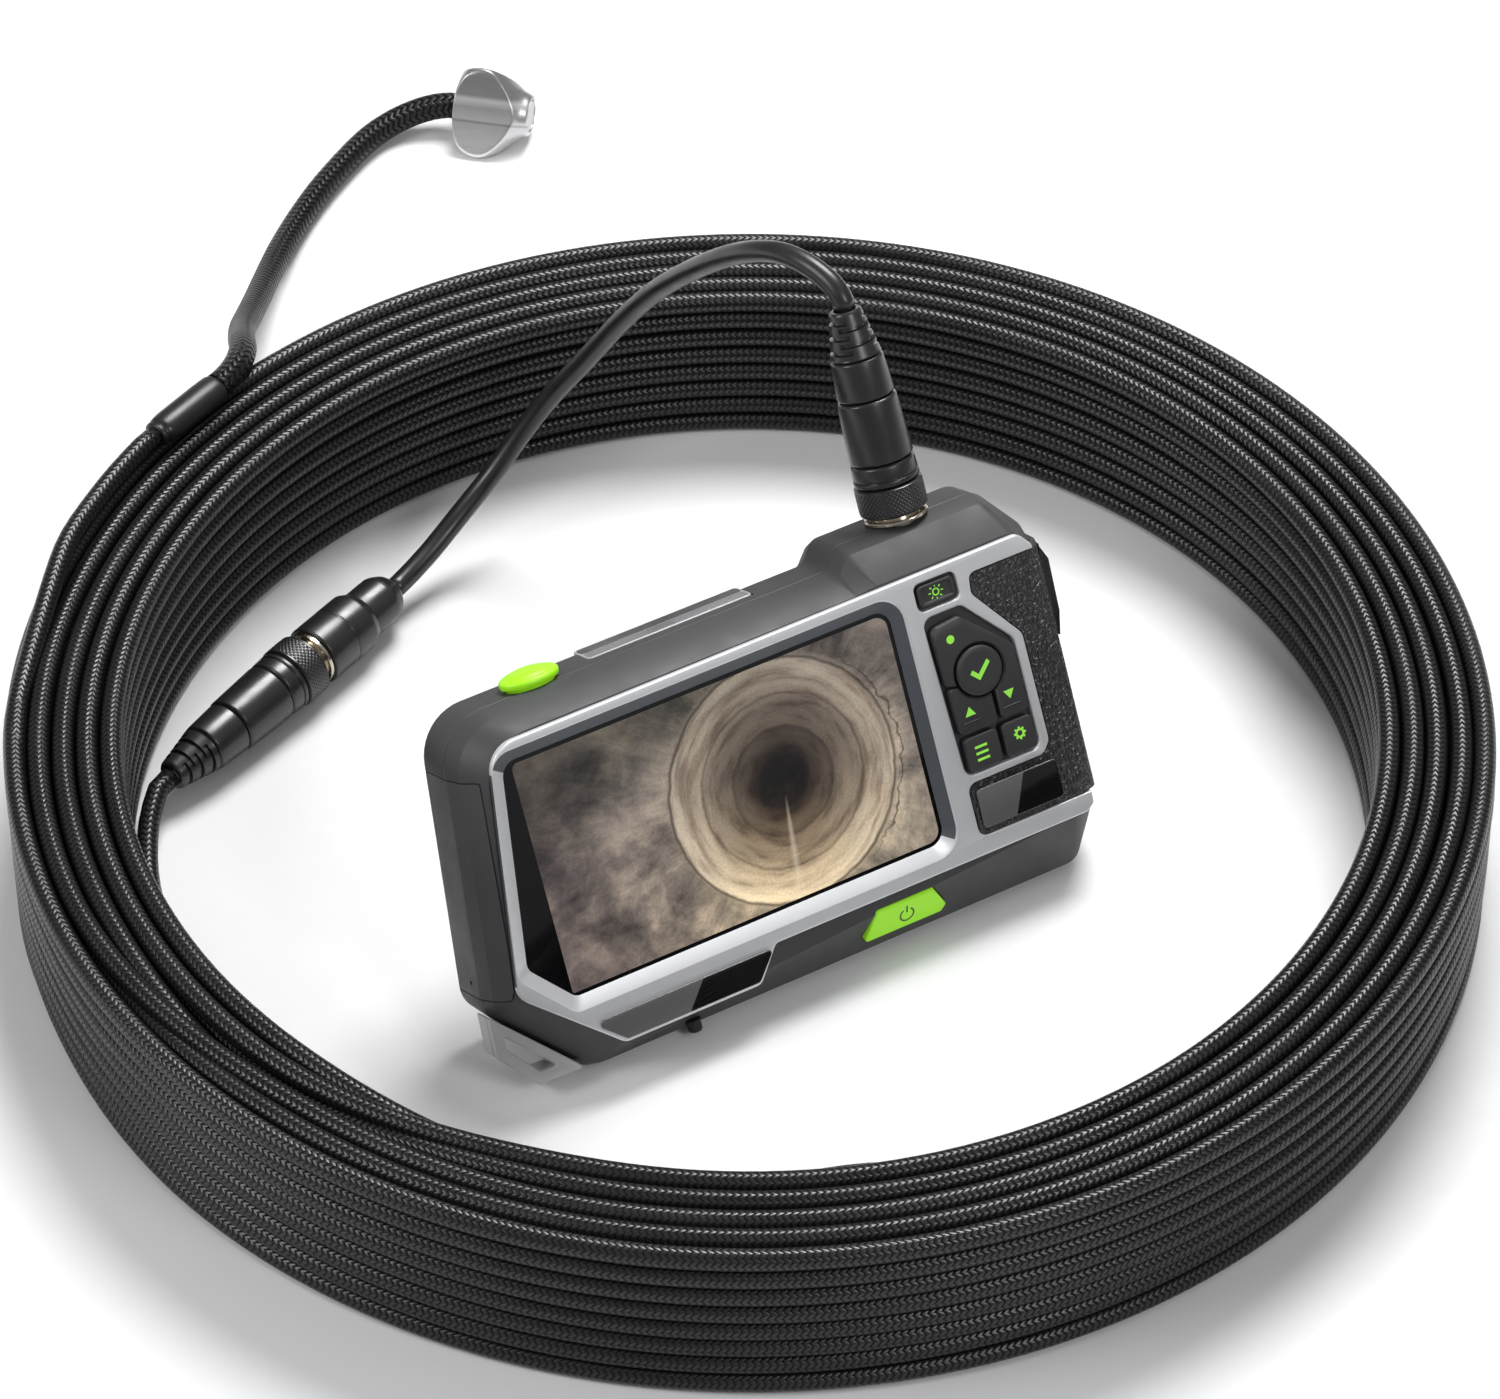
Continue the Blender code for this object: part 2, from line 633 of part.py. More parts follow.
def build_keys(frame, mats):
    plate("key_mat", inset(KEY_WELL, -0.2), 2.2, 3.4, mats["rubber"], frame)

    x0, z0 = OK_CENTRE
    across = Matrix.Rotation(math.pi / 2, 4, "X")
    centre_at = Matrix.Translation((x0 * MM, 0, z0 * MM)) @ across
    turned("ok_key", [(0, KEY_BACK * -1), (OK_RADIUS, -KEY_BACK), (OK_RADIUS, 1.5), (OK_RADIUS - 0.7, 2.0),
                      (0, 2.0)],
           mats["key"], frame, segments=40, place=centre_at)
    move_origin(NODES["ok_key"], (x0, KEY_BACK, z0))
    ring = turned("cut_ok_ring", [(0, -4), (OK_RADIUS + 0.7, -4), (OK_RADIUS + 0.7, 4), (0, 4)], None,
                  frame, True, 40,
                  centre_at)

    rocker = [(55.5, 70.2, 1.0), (54.9, 87.6, 2.5), (64.6, 88.6, 2.5), (78.9, 75.0, 3.6), (79.1, 55.0, 1.6),
              (69.9, 55.0, 1.6), (69.8, 66.0, 1.0)]
    caps = {
        "light_key": [(54.3, 94.1, 1.5), (54.3, 100.6, 1.5), (66.1, 100.6, 1.5), (66.1, 94.1, 1.5)],
        "rocker_key": rocker,
        "up_key": [(56.3, 54.8, 1.6), (55.8, 69.2, 1.0), (68.7, 66.6, 0.6), (68.8, 54.8, 1.6)],
        "menu_key": [(56.6, 43.3, 1.6), (56.6, 53.4, 1.6), (67.6, 53.4, 1.6), (67.6, 43.3, 1.6)],
        "settings_key": [(68.9, 43.3, 1.6), (68.9, 53.4, 1.6), (79.1, 53.4, 1.6), (79.1, 43.3, 1.6)],
    }
    for name, corners in caps.items():
        front = 0.1 if name == "light_key" else KEY_FRONT
        cap, centre = key_cap(name, corners, frame, mats, front)
        if name in ("rocker_key", "up_key"):
            boolean(cap, "DIFFERENCE", ring)
        if name == "rocker_key":
            centre = (OK_CENTRE[0] + 0.4, KEY_BACK, OK_CENTRE[1] + 0.6)
        move_origin(cap, centre)


def build_shutter(frame, mats):
    x, y, z = SHUTTER_CENTRE
    at = Matrix.Translation((x * MM, y * MM, z * MM)) @ Matrix.Diagonal((1.0, 0.72, 1.0, 1.0))
    dome = [(0, -3.2), (7.2, -3.2), (7.2, 0.9), (8.9, 0.9), (9.0, 2.3), (8.2, 3.3), (5.4, 4.1), (0, 4.4)]
    turned("shutter_button", dome, mats["lime"], frame, segments=36, place=at)
    move_origin(NODES["shutter_button"], (x, y, z))
    hole = turned("cut_shutter_hole", [(0, -9), (7.7, -9), (7.7, 6), (0, 6)], None, frame, True, 36, at)
    boolean(NODES["front_shell"], "DIFFERENCE", hole)
    boolean(NODES["rear_shell"], "DIFFERENCE", hole)


def build_power(frame, mats):
    """The power button sits square to the sloping lower band, in a shallow recess."""
    low = Vector((28.3, 9.6, 2.5))
    high = Vector((28.3, 2.1, 17.4))
    along = (high - low).normalized()
    inward = Vector((0, along.z, -along.y))
    basis = Matrix((Vector((1, 0, 0)), inward, along)).transposed().to_4x4()
    at = Matrix.Translation((low + along * 8.6) * MM) @ basis

    def placed(name, corners, front, back, mat, hidden, chamfer=0.0):
        obj = plate(name, corners, front, back, mat, frame, hidden, chamfer)
        obj.data.transform(at)
        return obj

    shape = [(-13.4, -5.2, 1.0), (-9.4, 5.4, 1.0), (9.4, 5.4, 1.0), (14.0, -3.0, 1.0), (12.2, -5.2, 1.0)]
    placed("power_button", shape, -1.7, 1.6, mats["lime"], False, 0.6)
    hole = placed("cut_power_hole", inset(shape, -0.35), -4.0, 1.2 + 1.4, None, True)
    boolean(NODES["front_shell"], "DIFFERENCE", hole)
    centre = at.translation / MM
    move_origin(NODES["power_button"], centre)


# ---------------------------------------------------------------------------------------------
# Ports, lug, feet and stand


def build_ports(frame, mats):
    low, high = (-38.0, 21.8), (15.0, 32.6)
    top = 109.5
    cover = plate_on_top("port_cover", low, high, top - 1.2, top + 0.25, mats["cover"], frame)
    move_origin(cover, (0, high[1], top))
    pocket = plate_on_top("cut_port_pocket", (low[0] - GAP, low[1] - GAP), (high[0] + GAP, high[1] + GAP),
                          top - 1.5, top + 6, None, frame, True)
    shaft = box("cut_port_shaft", (low[0] + 3, 23.6, top - 8), (high[0] - 3, 30.8, top), None, frame, True)
    boolean(NODES["rear_shell"], "DIFFERENCE", pocket, shaft)

    block = box("port_block", (low[0] + 3.4, 24.0, top - 10.5), (high[0] - 3.4, 30.4, top - 2.6),
                mats["dark"], frame)
    for name, x, width in (("usb", -25.0, 9.2), ("video", -9.0, 11.4), ("card", 4.6, 11.0)):
        slot = box(f"cut_{name}_slot", (x - width / 2, 25.6, top - 8.6), (x + width / 2, 28.8, top), None,
                   frame, True)
        boolean(block, "DIFFERENCE", slot)


def plate_on_top(name, low, high, z0, z1, mat, frame, hidden=False):
    corners = [(low[0], low[1], 1.4), (low[0], high[1], 1.4), (high[0], high[1], 1.4),
               (high[0], low[1], 1.4)]
    bm = bmesh.new()
    skin(bm, [[(p.x, p.y, z) for p in fillet(corners, 3)] for z in (z0, z1)])
    return from_bmesh(name, bm, mat, frame, hidden)


def build_lug(frame, mats):
    outer = [(-75.6, 3.0, 0.5), (-90.2, 3.2, 2.0), (-100.0, 15.6, 1.5), (-99.4, 27.6, 0.4)]
    lug = plate("strap_lug", outer, 8.6, 16.8, mats["light_metal"], frame, chamfer=0.3)
    slot = plate("cut_lug_slot",
                 [(-83.4, 6.6, 0.4), (-88.8, 6.9, 1.4), (-96.9, 17.0, 1.2), (-96.6, 20.7, 0.4)], 4.0, 22.0,
                 None, frame, True)
    clear = loft("cut_lug_case", [(d, inset(c, -GAP)) for d, c in case_sections(FRONT, PARTING + 1.3)],
                 None, frame, True)
    boolean(lug, "DIFFERENCE", clear, slot)


def build_stand(frame, mats):
    hinge_y, hinge_z = 35.4, 79.0
    angle = math.radians(STAND_OPEN)
    rear = NODES["rear_shell"]
    recess = box("cut_stand_recess", (-30.6, 32.8, 12.6), (30.6, 44.0, 82.0), None, frame, True)
    pin_hole = turned("cut_pin_hole", [(0, -32.4), (1.4, -32.4), (1.4, 32.4), (0, 32.4)], None, frame,
                      True, 16,
                      Matrix.Translation((0, hinge_y * MM, hinge_z * MM)) @ Matrix.Rotation(math.pi / 2, 4,
                                                                                            "Y"))
    sides = box("join_stand_sides", (-33.0, 31.0, 14.0), (33.0, 37.0, 85.6), None, frame, True)
    boolean(rear, "UNION", sides)
    boolean(rear, "DIFFERENCE", recess, pin_hole)

    turned("kickstand_pin", [(0, -32.0), (1.05, -32.0), (1.05, 32.0), (0, 32.0)], mats["steel"], frame,
           segments=16,
           place=Matrix.Translation((0, hinge_y * MM, hinge_z * MM)) @ Matrix.Rotation(math.pi / 2, 4, "Y"))

    hinge = empty("kickstand_hinge", (0, hinge_y, hinge_z), (angle, 0, 0))
    hinge.parent = frame
    leg = [(-25.0, -STAND_LENGTH, 5.0), (-29.8, -12.0, 6.0), (-29.8, 1.4, 1.0), (29.8, 1.4, 1.0),
           (29.8, -12.0, 6.0),
           (25.0, -STAND_LENGTH, 5.0)]
    stand = plate("kickstand", leg, -0.2, 2.3, mats["guard"], hinge)
    barrel = turned("join_barrel", [(0, -29.8), (2.3, -29.8), (2.3, 29.8), (0, 29.8)], None, hinge, True,
                    16,
                    Matrix.Rotation(math.pi / 2, 4, "Y"))
    bore = turned("cut_barrel_bore", [(0, -31), (1.4, -31), (1.4, 31), (0, 31)], None, hinge, True, 16,
                  Matrix.Rotation(math.pi / 2, 4, "Y"))
    boolean(stand, "UNION", barrel)
    boolean(stand, "DIFFERENCE", bore)


def build_small_parts(frame, mats):
    rear = NODES["rear_shell"]
    front = NODES["front_shell"]
    across = Matrix.Rotation(-math.pi / 2, 4, "X")
    for number, (x, z) in enumerate(SCREW_PLACES, 1):
        at = Matrix.Translation((x * MM, 0, z * MM)) @ across
        turned(f"case_screw_{number}",
               [(0, 24), (1.3, 24), (1.3, 36.0), (2.6, 36.0), (2.6, 37.4), (0, 37.4)],
               mats["steel"], frame, segments=20, place=at)
        hole = turned(f"cut_screw_{number}",
                      [(0, 34), (1.7, 34), (1.7, 35.7), (2.9, 35.7), (2.9, 45), (0, 45)],
                      None, frame, True, 20, at)
        boolean(rear, "DIFFERENCE", hole)

    boss_z = 97.0
    at = Matrix.Translation((0, 0, boss_z * MM)) @ across
    turned("tripod_insert", [(0, 32.0), (4.6, 32.0), (4.6, 38.2), (3.2, 38.2), (3.2, 34.0), (0, 34.0)],
           mats["brass"], frame, segments=28, place=at)
    hole = turned("cut_tripod", [(0, 20), (4.9, 20), (4.9, 45), (0, 45)], None, frame, True, 28, at)
    boolean(rear, "DIFFERENCE", hole)

    at = Matrix.Translation((-40.6 * MM, 9.4 * MM, 0))
    turned("bottom_foot", [(0, -0.4), (1.7, -0.4), (2.1, 0.1), (2.1, 3.2), (0, 3.2)], mats["rubber"], frame,
           segments=16, place=at)
    hole = turned("cut_foot", [(0, -9), (2.4, -9), (2.4, 3.5), (0, 3.5)], None, frame, True, 16, at)
    boolean(front, "DIFFERENCE", hole)


def build_inside(frame, mats):
    box("main_board", (-60.0, 9.0, 30.0), (86.0, 10.6, 100.0), mats["board"], frame)
    box("battery_pack", (-52.0, 13.0, 26.0), (30.0, 22.5, 86.0), mats["cell"], frame)


# ---------------------------------------------------------------------------------------------
# Screw connectors


def section_profile(name, length, start, end, bore):
    """One connector section as a (radius, z) profile, edges broken, bored where it screws on."""
    edge = 0.5
    if name == "nut":
        return [(bore, 0), (start - edge, 0), (start, edge), (end, length - edge), (end - edge, length),
                (bore, length)]
    if name == "boot":
        steps = 3
        profile = [(0, 0), (start, 0)]
        for step in range(steps):
            base = length * (0.12 + 0.24 * step)
            radius = start + (end - start) * base / length
            profile += [(radius, base), (radius - 1.1, base + 0.1), (radius - 1.2, base + 1.1),
                        (radius - 0.3, base + 1.2)]
        return profile + [(end, length), (0, length)]
    return [(0, 0), (start - edge, 0), (start, edge), (end, length - edge), (end - edge, length),
            (0, length)]


def build_plug(prefix, start, direction, mats, parent=None):
    """The nut, collar, body, barrel and boot in line from a start point; returns where the boot ends."""
    at = Vector(start)
    heading = Vector(direction).normalized()
    for name, length, r0, r1 in PLUG_SECTIONS:
        place = heading_matrix(at, heading)
        node = turned(f"{prefix}_{name}", section_profile(name, length - GAP, r0, r1, BORE_RADIUS),
                      mats["connector"],
                      parent, segments=32, place=place)
        if name == "nut":
            move_origin(node, at)
        at = at + heading * length
    return at


def build_socket(frame, mats):
    base = 100.0
    at = Matrix.Translation((SOCKET_X * MM, SOCKET_Y * MM, 0))
    profile = [(0, base), (6.6, base), (6.6, SHOULDER_Z + 0.3), (9.4, SHOULDER_Z + 0.3),
               (9.4, SHOULDER_Z + 1.5),
               (THREAD_RADIUS, SHOULDER_Z + 1.5), (THREAD_RADIUS, NUT_START_Z + 8.0),
               (0, NUT_START_Z + 8.0)]
    turned("panel_socket", profile, mats["nickel"], frame, segments=32, place=at)
    hole = turned("cut_socket", [(0, 90), (6.9, 90), (6.9, 130), (0, 130)], None, frame, True, 32, at)
    boolean(NODES["front_shell"], "DIFFERENCE", hole)
    boolean(NODES["rear_shell"], "DIFFERENCE", hole)


def build_joint(mats):
    """The inline connector on the floor: the lead's socket half, then the push cable's plug half."""
    angle = math.radians(JOINT_HEADING)
    heading = Vector((math.cos(angle), math.sin(angle), 0))
    start = in_coil((*JOINT_START, JOINT_AXIS_Z))
    place = heading_matrix(start, heading)
    shapes = {
        "cone": ("connector", [(0, 0), (3.9, 0), (6.2, 2.4), (7.7, 5.4), (7.8, 15.6), (0, 15.6)]),
        "socket": ("connector", [(0, 15.9), (8.2, 15.9), (9.4, 18.2), (9.5, 36.6), (9.0, 37.1), (0, 37.1)]),
        "thread": ("nickel", [(0, 37.4), (8.6, 37.4), (8.6, 38.6), (THREAD_RADIUS, 38.6),
                              (THREAD_RADIUS, 48.6), (0, 48.6)]),
    }
    for name, (mat, profile) in shapes.items():
        turned(f"joint_{name}", profile, mats[mat], segments=32, place=place)
    end = build_plug("joint", start + heading * JOINT_NUT_START, heading, mats)
    return start, end, heading


# ---------------------------------------------------------------------------------------------
# Cable, gooseneck and head


def from_coil(point):
    """A place in the object's frame, as given from the coil's centre."""
    return Vector(point) - in_coil((0, 0, 0))


def meet(point, heading):
    """The last two route points of a cord that runs straight into a fitting and stops just short."""
    return [point - heading * RUN_IN, point - heading * GAP]


def leave(point, heading):
    """The first two route points of a cord that comes out of a fitting."""
    return [point + heading * GAP, point + heading * RUN_IN]


def build_coil(mats):
    edge = CABLE_D / 2
    ring = [(COIL_INNER, edge), (COIL_INNER + edge, 0), (COIL_OUTER - edge, 0), (COIL_OUTER, edge),
            (COIL_OUTER, COIL_HEIGHT - edge), (COIL_OUTER - edge, COIL_HEIGHT),
            (COIL_INNER + edge, COIL_HEIGHT),
            (COIL_INNER, COIL_HEIGHT - edge)]
    coil = turned("cable_coil", ring, mats["braid"], segments=72)
    coil.location = in_coil((0, 0, 0)) * MM


def build_cords(mats, joint, boot_end, boot_heading):
    joint_start, joint_end, joint_heading = joint
    lead = leave(from_coil(boot_end), boot_heading) + LEAD_ROUTE + meet(from_coil(joint_start),
                                                                        joint_heading)
    tube("lead", lead, LEAD_D, mats["lead"])
    tube("cable_tail", leave(from_coil(joint_end), joint_heading)[:1] + TAIL_ROUTE, CABLE_D, mats["braid"],
         spacing=1.2)

    start, end = Vector(SLEEVE_START), Vector(SLEEVE_END)
    length = (end - start).length
    heading = (end - start).normalized()
    tube("cable_exit", EXIT_ROUTE + meet(start, heading), CABLE_D, mats["braid"], spacing=1.6)
    profile = [(0, 0), (4.2, 0), (4.8, 3.0), (5.1, 7.0), (5.1, length - 6.0), (4.9, length - 2.0),
               (4.6, length),
               (0, length)]
    turned("sleeve", profile, mats["lead"], segments=20, place=heading_matrix(in_coil(start), heading),
           squash=0.85)

    angle = math.radians(HEAD_HEADING)
    head_heading = Vector((math.cos(angle), math.sin(angle), 0))
    neck = leave(end, heading) + NECK_ROUTE + meet(Vector(HEAD_START), head_heading)
    tube("gooseneck", neck, GOOSENECK_D, mats["braid"])
    return head_heading


def pad_ring(radius, z, segments=48):
    """A round ring about z cut by the skid's three flat pads, one of them facing -y."""
    points = []
    for index in range(segments):
        angle = 2 * math.pi * index / segments
        from_pad = (angle + math.radians(150)) % math.radians(120) - math.radians(60)
        reach = min(radius, PAD_REACH / math.cos(from_pad))
        points.append((reach * math.cos(angle), reach * math.sin(angle), z))
    return points


def build_head(mats, heading):
    """Along the head's own z: the gooseneck's end at 0, the lens at HEAD_LENGTH."""
    place = heading_matrix(in_coil(HEAD_START), heading)
    outline = [(0.0, 6.2), (0.5, 8.2), (2.0, 11.6), (4.4, 14.2), (7.4, 15.9), (10.6, 16.6), (13.6, 16.2),
               (16.4, 14.4),
               (18.6, 11.6), (20.0, 8.6), (21.2, 7.0), (22.6, 6.5), (HEAD_LENGTH - 0.6, 6.4),
               (HEAD_LENGTH, 6.0)]
    bm = bmesh.new()
    skin(bm, [pad_ring(radius, z) for z, radius in outline])
    in_mm = place.copy()
    in_mm.translation = place.translation / MM
    bmesh.ops.transform(bm, matrix=in_mm, verts=bm.verts)
    skid = from_bmesh("head_skid", bm, mats["steel"], smooth=40.0)
    bore = turned("cut_head_bore", [(0, 4), (5.2, 4), (5.2, 30), (0, 30)], None, None, True, 32, place)
    boolean(skid, "DIFFERENCE", bore)

    end = HEAD_LENGTH
    turned("head_barrel", [(0, 4.3), (4.9, 4.3), (4.9, end - 1.4), (4.0, end - 1.4), (4.0, 8.0), (0, 8.0)],
           mats["dark"], segments=28, place=place)
    turned("camera_module", [(0, 8.3), (2.2, 8.3), (2.2, end - 1.7), (0, end - 1.7)], mats["dark"],
           segments=24,
           place=place)
    turned("led_ring", [(2.5, end - 3.0), (3.7, end - 3.0), (3.7, end - 1.8), (2.5, end - 1.8)],
           mats["led"], segments=24,
           place=place)
    turned("lens_window", [(0, end - 1.1), (4.9, end - 1.1), (4.9, end - 0.2), (0, end - 0.2)],
           mats["glass"],
           segments=28, place=place)


# ---------------------------------------------------------------------------------------------


def main():
    for obj in list(bpy.data.objects):
        bpy.data.objects.remove(obj)
    mats = {
        "case": material("case charcoal", (0.075, 0.075, 0.08), 0.55),
        "guard": material("guard rubber", (0.09, 0.09, 0.095), 0.65),
        "silver": material("satin silver", (0.72, 0.73, 0.75), 0.35, 0.8),
        "glass": material("cover glass", (0.02, 0.02, 0.025), 0.08),
        "dark": material("dark plastic", (0.03, 0.03, 0.035), 0.5),
        "badge": material("badge", (0.3, 0.3, 0.31), 0.3),
        "leather": material("black leather", (0.03, 0.03, 0.03), 0.6),
        "key": material("key rubber", (0.06, 0.06, 0.065), 0.6),
        "rubber": material("black rubber", (0.02, 0.02, 0.02), 0.7),
        "lime": material("lime plastic", (0.4, 0.9, 0.03), 0.35),
        "cover": material("port cover", (0.25, 0.25, 0.26), 0.2),
        "light_metal": material("light metal", (0.8, 0.8, 0.8), 0.35, 0.9),
        "steel": material("steel", (0.6, 0.6, 0.6), 0.25, 1.0),
        "brass": material("brass", (0.6, 0.45, 0.2), 0.3, 1.0),
        "board": material("circuit board", (0.02, 0.12, 0.05), 0.5),
        "cell": material("battery wrap", (0.1, 0.1, 0.3), 0.4),
        "connector": material("connector black", (0.02, 0.02, 0.02), 0.35),
        "nickel": material("nickel", (0.75, 0.72, 0.65), 0.2, 1.0),
        "lead": material("lead jacket", (0.02, 0.02, 0.02), 0.4),
        "braid": material("braided jacket", (0.02, 0.02, 0.02), 0.5),
        "led": material("LED ring", (0.8, 0.9, 1.0), 0.3),
    }
    lean = math.radians(LEAN)
    frame = empty("handset_frame",
                  (CASE_X, CONTACT_Y - PARTING * math.cos(lean), PARTING * math.sin(lean)), (-lean, 0, 0))
    build_casing(frame, mats)
    build_bezel(frame, mats)
    build_grip(frame, mats)
    build_keys(frame, mats)
    build_shutter(frame, mats)
    build_power(frame, mats)
    build_ports(frame, mats)
    build_lug(frame, mats)
    build_stand(frame, mats)
    build_small_parts(frame, mats)
    build_inside(frame, mats)
    build_socket(frame, mats)
    up = Vector((0, 0, 1))
    boot_end = build_plug("plug", Vector((SOCKET_X, SOCKET_Y, NUT_START_Z)), up, mats, frame)
    joint = build_joint(mats)
    bpy.context.view_layer.update()
    boot_end = frame.matrix_world @ (boot_end * MM) / MM
    boot_heading = (frame.matrix_world.to_3x3() @ up).normalized()
    build_coil(mats)
    head_heading = build_cords(mats, joint, boot_end, boot_heading)
    build_head(mats, head_heading)


main()
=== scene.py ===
"""Looks of the pipe inspection camera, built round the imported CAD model.

The handset's pieces are modelled in its own frame in millimetres: x right, y into the case, z up the face.
Cord routes are given in millimetres from the coil's centre, as in the CAD source."""

import json
import math

import bmesh
import bpy
import numpy as np
from mathutils import Matrix, Vector

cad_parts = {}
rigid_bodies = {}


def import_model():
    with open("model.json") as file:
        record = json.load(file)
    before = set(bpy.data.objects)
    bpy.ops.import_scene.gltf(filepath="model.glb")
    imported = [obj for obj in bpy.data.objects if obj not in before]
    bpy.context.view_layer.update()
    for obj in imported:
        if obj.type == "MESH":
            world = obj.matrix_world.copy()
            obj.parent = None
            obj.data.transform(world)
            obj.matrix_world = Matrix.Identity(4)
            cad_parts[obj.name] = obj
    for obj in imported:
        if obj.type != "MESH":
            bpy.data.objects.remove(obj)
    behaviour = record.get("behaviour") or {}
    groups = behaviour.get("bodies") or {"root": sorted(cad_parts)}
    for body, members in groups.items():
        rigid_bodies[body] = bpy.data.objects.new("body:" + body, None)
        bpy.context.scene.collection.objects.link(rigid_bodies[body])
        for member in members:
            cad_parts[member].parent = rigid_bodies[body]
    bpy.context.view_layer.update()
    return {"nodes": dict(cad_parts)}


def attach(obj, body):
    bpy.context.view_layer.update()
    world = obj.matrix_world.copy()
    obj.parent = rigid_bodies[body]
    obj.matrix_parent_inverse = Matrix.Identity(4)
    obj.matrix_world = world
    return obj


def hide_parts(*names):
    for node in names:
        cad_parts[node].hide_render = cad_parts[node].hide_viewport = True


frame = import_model()

MM = 0.001
LEAN = math.radians(28.0)
CASE_X = -0.9
CONTACT_Y = -34.0
FRONT, RIDGE, PARTING, REAR_EDGE, BACK = 2.1, 10.0, 16.0, 30.0, 38.0
COIL_AT = Vector((CASE_X + 13.2, CONTACT_Y + 55.1, 0.0))
HANDSET = (Matrix.Translation(Vector((CASE_X, CONTACT_Y - PARTING * math.cos(LEAN),
                                      PARTING * math.sin(LEAN))) * MM)
           @ Matrix.Rotation(-LEAN, 4, "X") @ Matrix.Scale(MM, 4))
COIL_FRAME = Matrix.Translation(COIL_AT * MM) @ Matrix.Scale(MM, 4)

CABLE_D, LEAD_D, GOOSENECK_D = 6.8, 6.4, 8.4
CABLE_SLACK = 0.25  # the cable is drawn this much thinner all round, so that its turns show dark gaps
COIL_INNER, COIL_COLUMNS, COIL_ROWS = 178.5, 5, 8
JOINT_START = Vector((-43.6, 137.1, 10.1))
JOINT_HEADING = 202.2
JOINT_LENGTH = 101.4
SLEEVE_START, SLEEVE_END = Vector((-96.2, 183.7, 59.7)), Vector((-70.6, 194.1, 59.7))
HEAD_START, HEAD_HEADING, HEAD_LENGTH, PAD_REACH = Vector((85.6, 333.2, 9.4)), -42.0, 25.0, 9.0
SOCKET_X, SOCKET_Y, SHOULDER_Z, NUT_START_Z = 62.9, 20.0, 115.5, 118.2
PLUG_LENGTH = 60.4


# ---------------------------------------------------------------------------------------------
# Node graphs


class Graph:
    """A material's node tree, with one short call for each kind of node that is used here."""

    def __init__(self, name):
        self.mat = bpy.data.materials.new(name)
        self.mat.use_nodes = True
        self.tree = self.mat.node_tree
        self.shader = self.tree.nodes["Principled BSDF"]

    def put(self, target, value):
        if hasattr(value, "is_output"):
            self.tree.links.new(value, target)
        else:
            target.default_value = value

    def node(self, kind, *values, **settings):
        made = self.tree.nodes.new(kind)
        for key, value in settings.items():
            setattr(made, key, value)
        for socket, value in zip(made.inputs, values):
            if value is not None:
                self.put(socket, value)
        return made

    def math(self, operation, a, b=0.0, clamp=False):
        return self.node("ShaderNodeMath", a, b, operation=operation, use_clamp=clamp).outputs[0]

    def vector(self, operation, a, b):
        return self.node("ShaderNodeVectorMath", a, b, operation=operation).outputs[0]

    def times(self, a, b, clamp=False):
        return self.math("MULTIPLY", a, b, clamp)

    def plus(self, a, b):
        return self.math("ADD", a, b)

    def minus(self, a, b, clamp=False):
        return self.math("SUBTRACT", a, b, clamp)

    def over(self, a, b):
        return self.math("DIVIDE", a, b)

    def fill(self, made, **sockets):
        """Fills a node's sockets by name and gives its first output."""
        for key, value in sockets.items():
            self.put(made.inputs[key], value)
        return made.outputs[0]

    def uv(self):
        split = self.node("ShaderNodeSeparateXYZ", self.node("ShaderNodeUVMap", uv_map="map").outputs[0])
        return split.outputs[0], split.outputs[1]

    def place(self):
        return self.node("ShaderNodeTexCoord").outputs["Object"]

    def join(self, x, y, z=0.0):
        return self.node("ShaderNodeCombineXYZ", x, y, z).outputs[0]

    def stretch(self, vector, x, y, z):
        return self.node("ShaderNodeMapping", vector, None, None, (x, y, z)).outputs[0]

    def noise(self, vector, scale, detail=2.0, rough=0.5, distortion=0.0):
        return self.fill(self.node("ShaderNodeTexNoise"), Vector=vector, Scale=scale, Detail=detail,
                         Roughness=rough, Distortion=distortion)

    def cells(self, vector, scale):
        return self.fill(self.node("ShaderNodeTexVoronoi", feature="DISTANCE_TO_EDGE"), Vector=vector,
                         Scale=scale)

    def scaled(self, value, low, high, to_low=0.0, to_high=1.0):
        return self.node("ShaderNodeMapRange", value, low, high, to_low, to_high).outputs[0]

    def ramp(self, value, *stops):
        made = self.node("ShaderNodeValToRGB", value)
        steps = made.color_ramp.elements
        while len(steps) < len(stops):
            steps.new(0.5)
        for step, (at, colour) in zip(steps, stops):
            step.position = at
            step.color = (*colour, 1.0)
        return made.outputs[0]

    def mix(self, factor, a, b, blend="MIX"):
        made = self.node("ShaderNodeMix", data_type="RGBA", blend_type=blend)
        self.put(made.inputs[0], factor)
        self.put(made.inputs[6], a if hasattr(a, "is_output") else (*a, 1.0))
        self.put(made.inputs[7], b if hasattr(b, "is_output") else (*b, 1.0))
        return made.outputs[2]

    def bump(self, height, distance, strength=1.0):
        made = self.fill(self.node("ShaderNodeBump"), Strength=strength, Distance=distance, Height=height)
        self.put(self.shader.inputs["Normal"], made)

    def finish(self, **sockets):
        for key, value in sockets.items():
            target = self.shader.inputs[key.replace("_", " ")]
            if isinstance(value, tuple) and len(value) == 3:
                value = (*value, 1.0)
            self.put(target, value)
        return self.mat


def dimmed(colour, share):
    return tuple(c * share for c in colour)


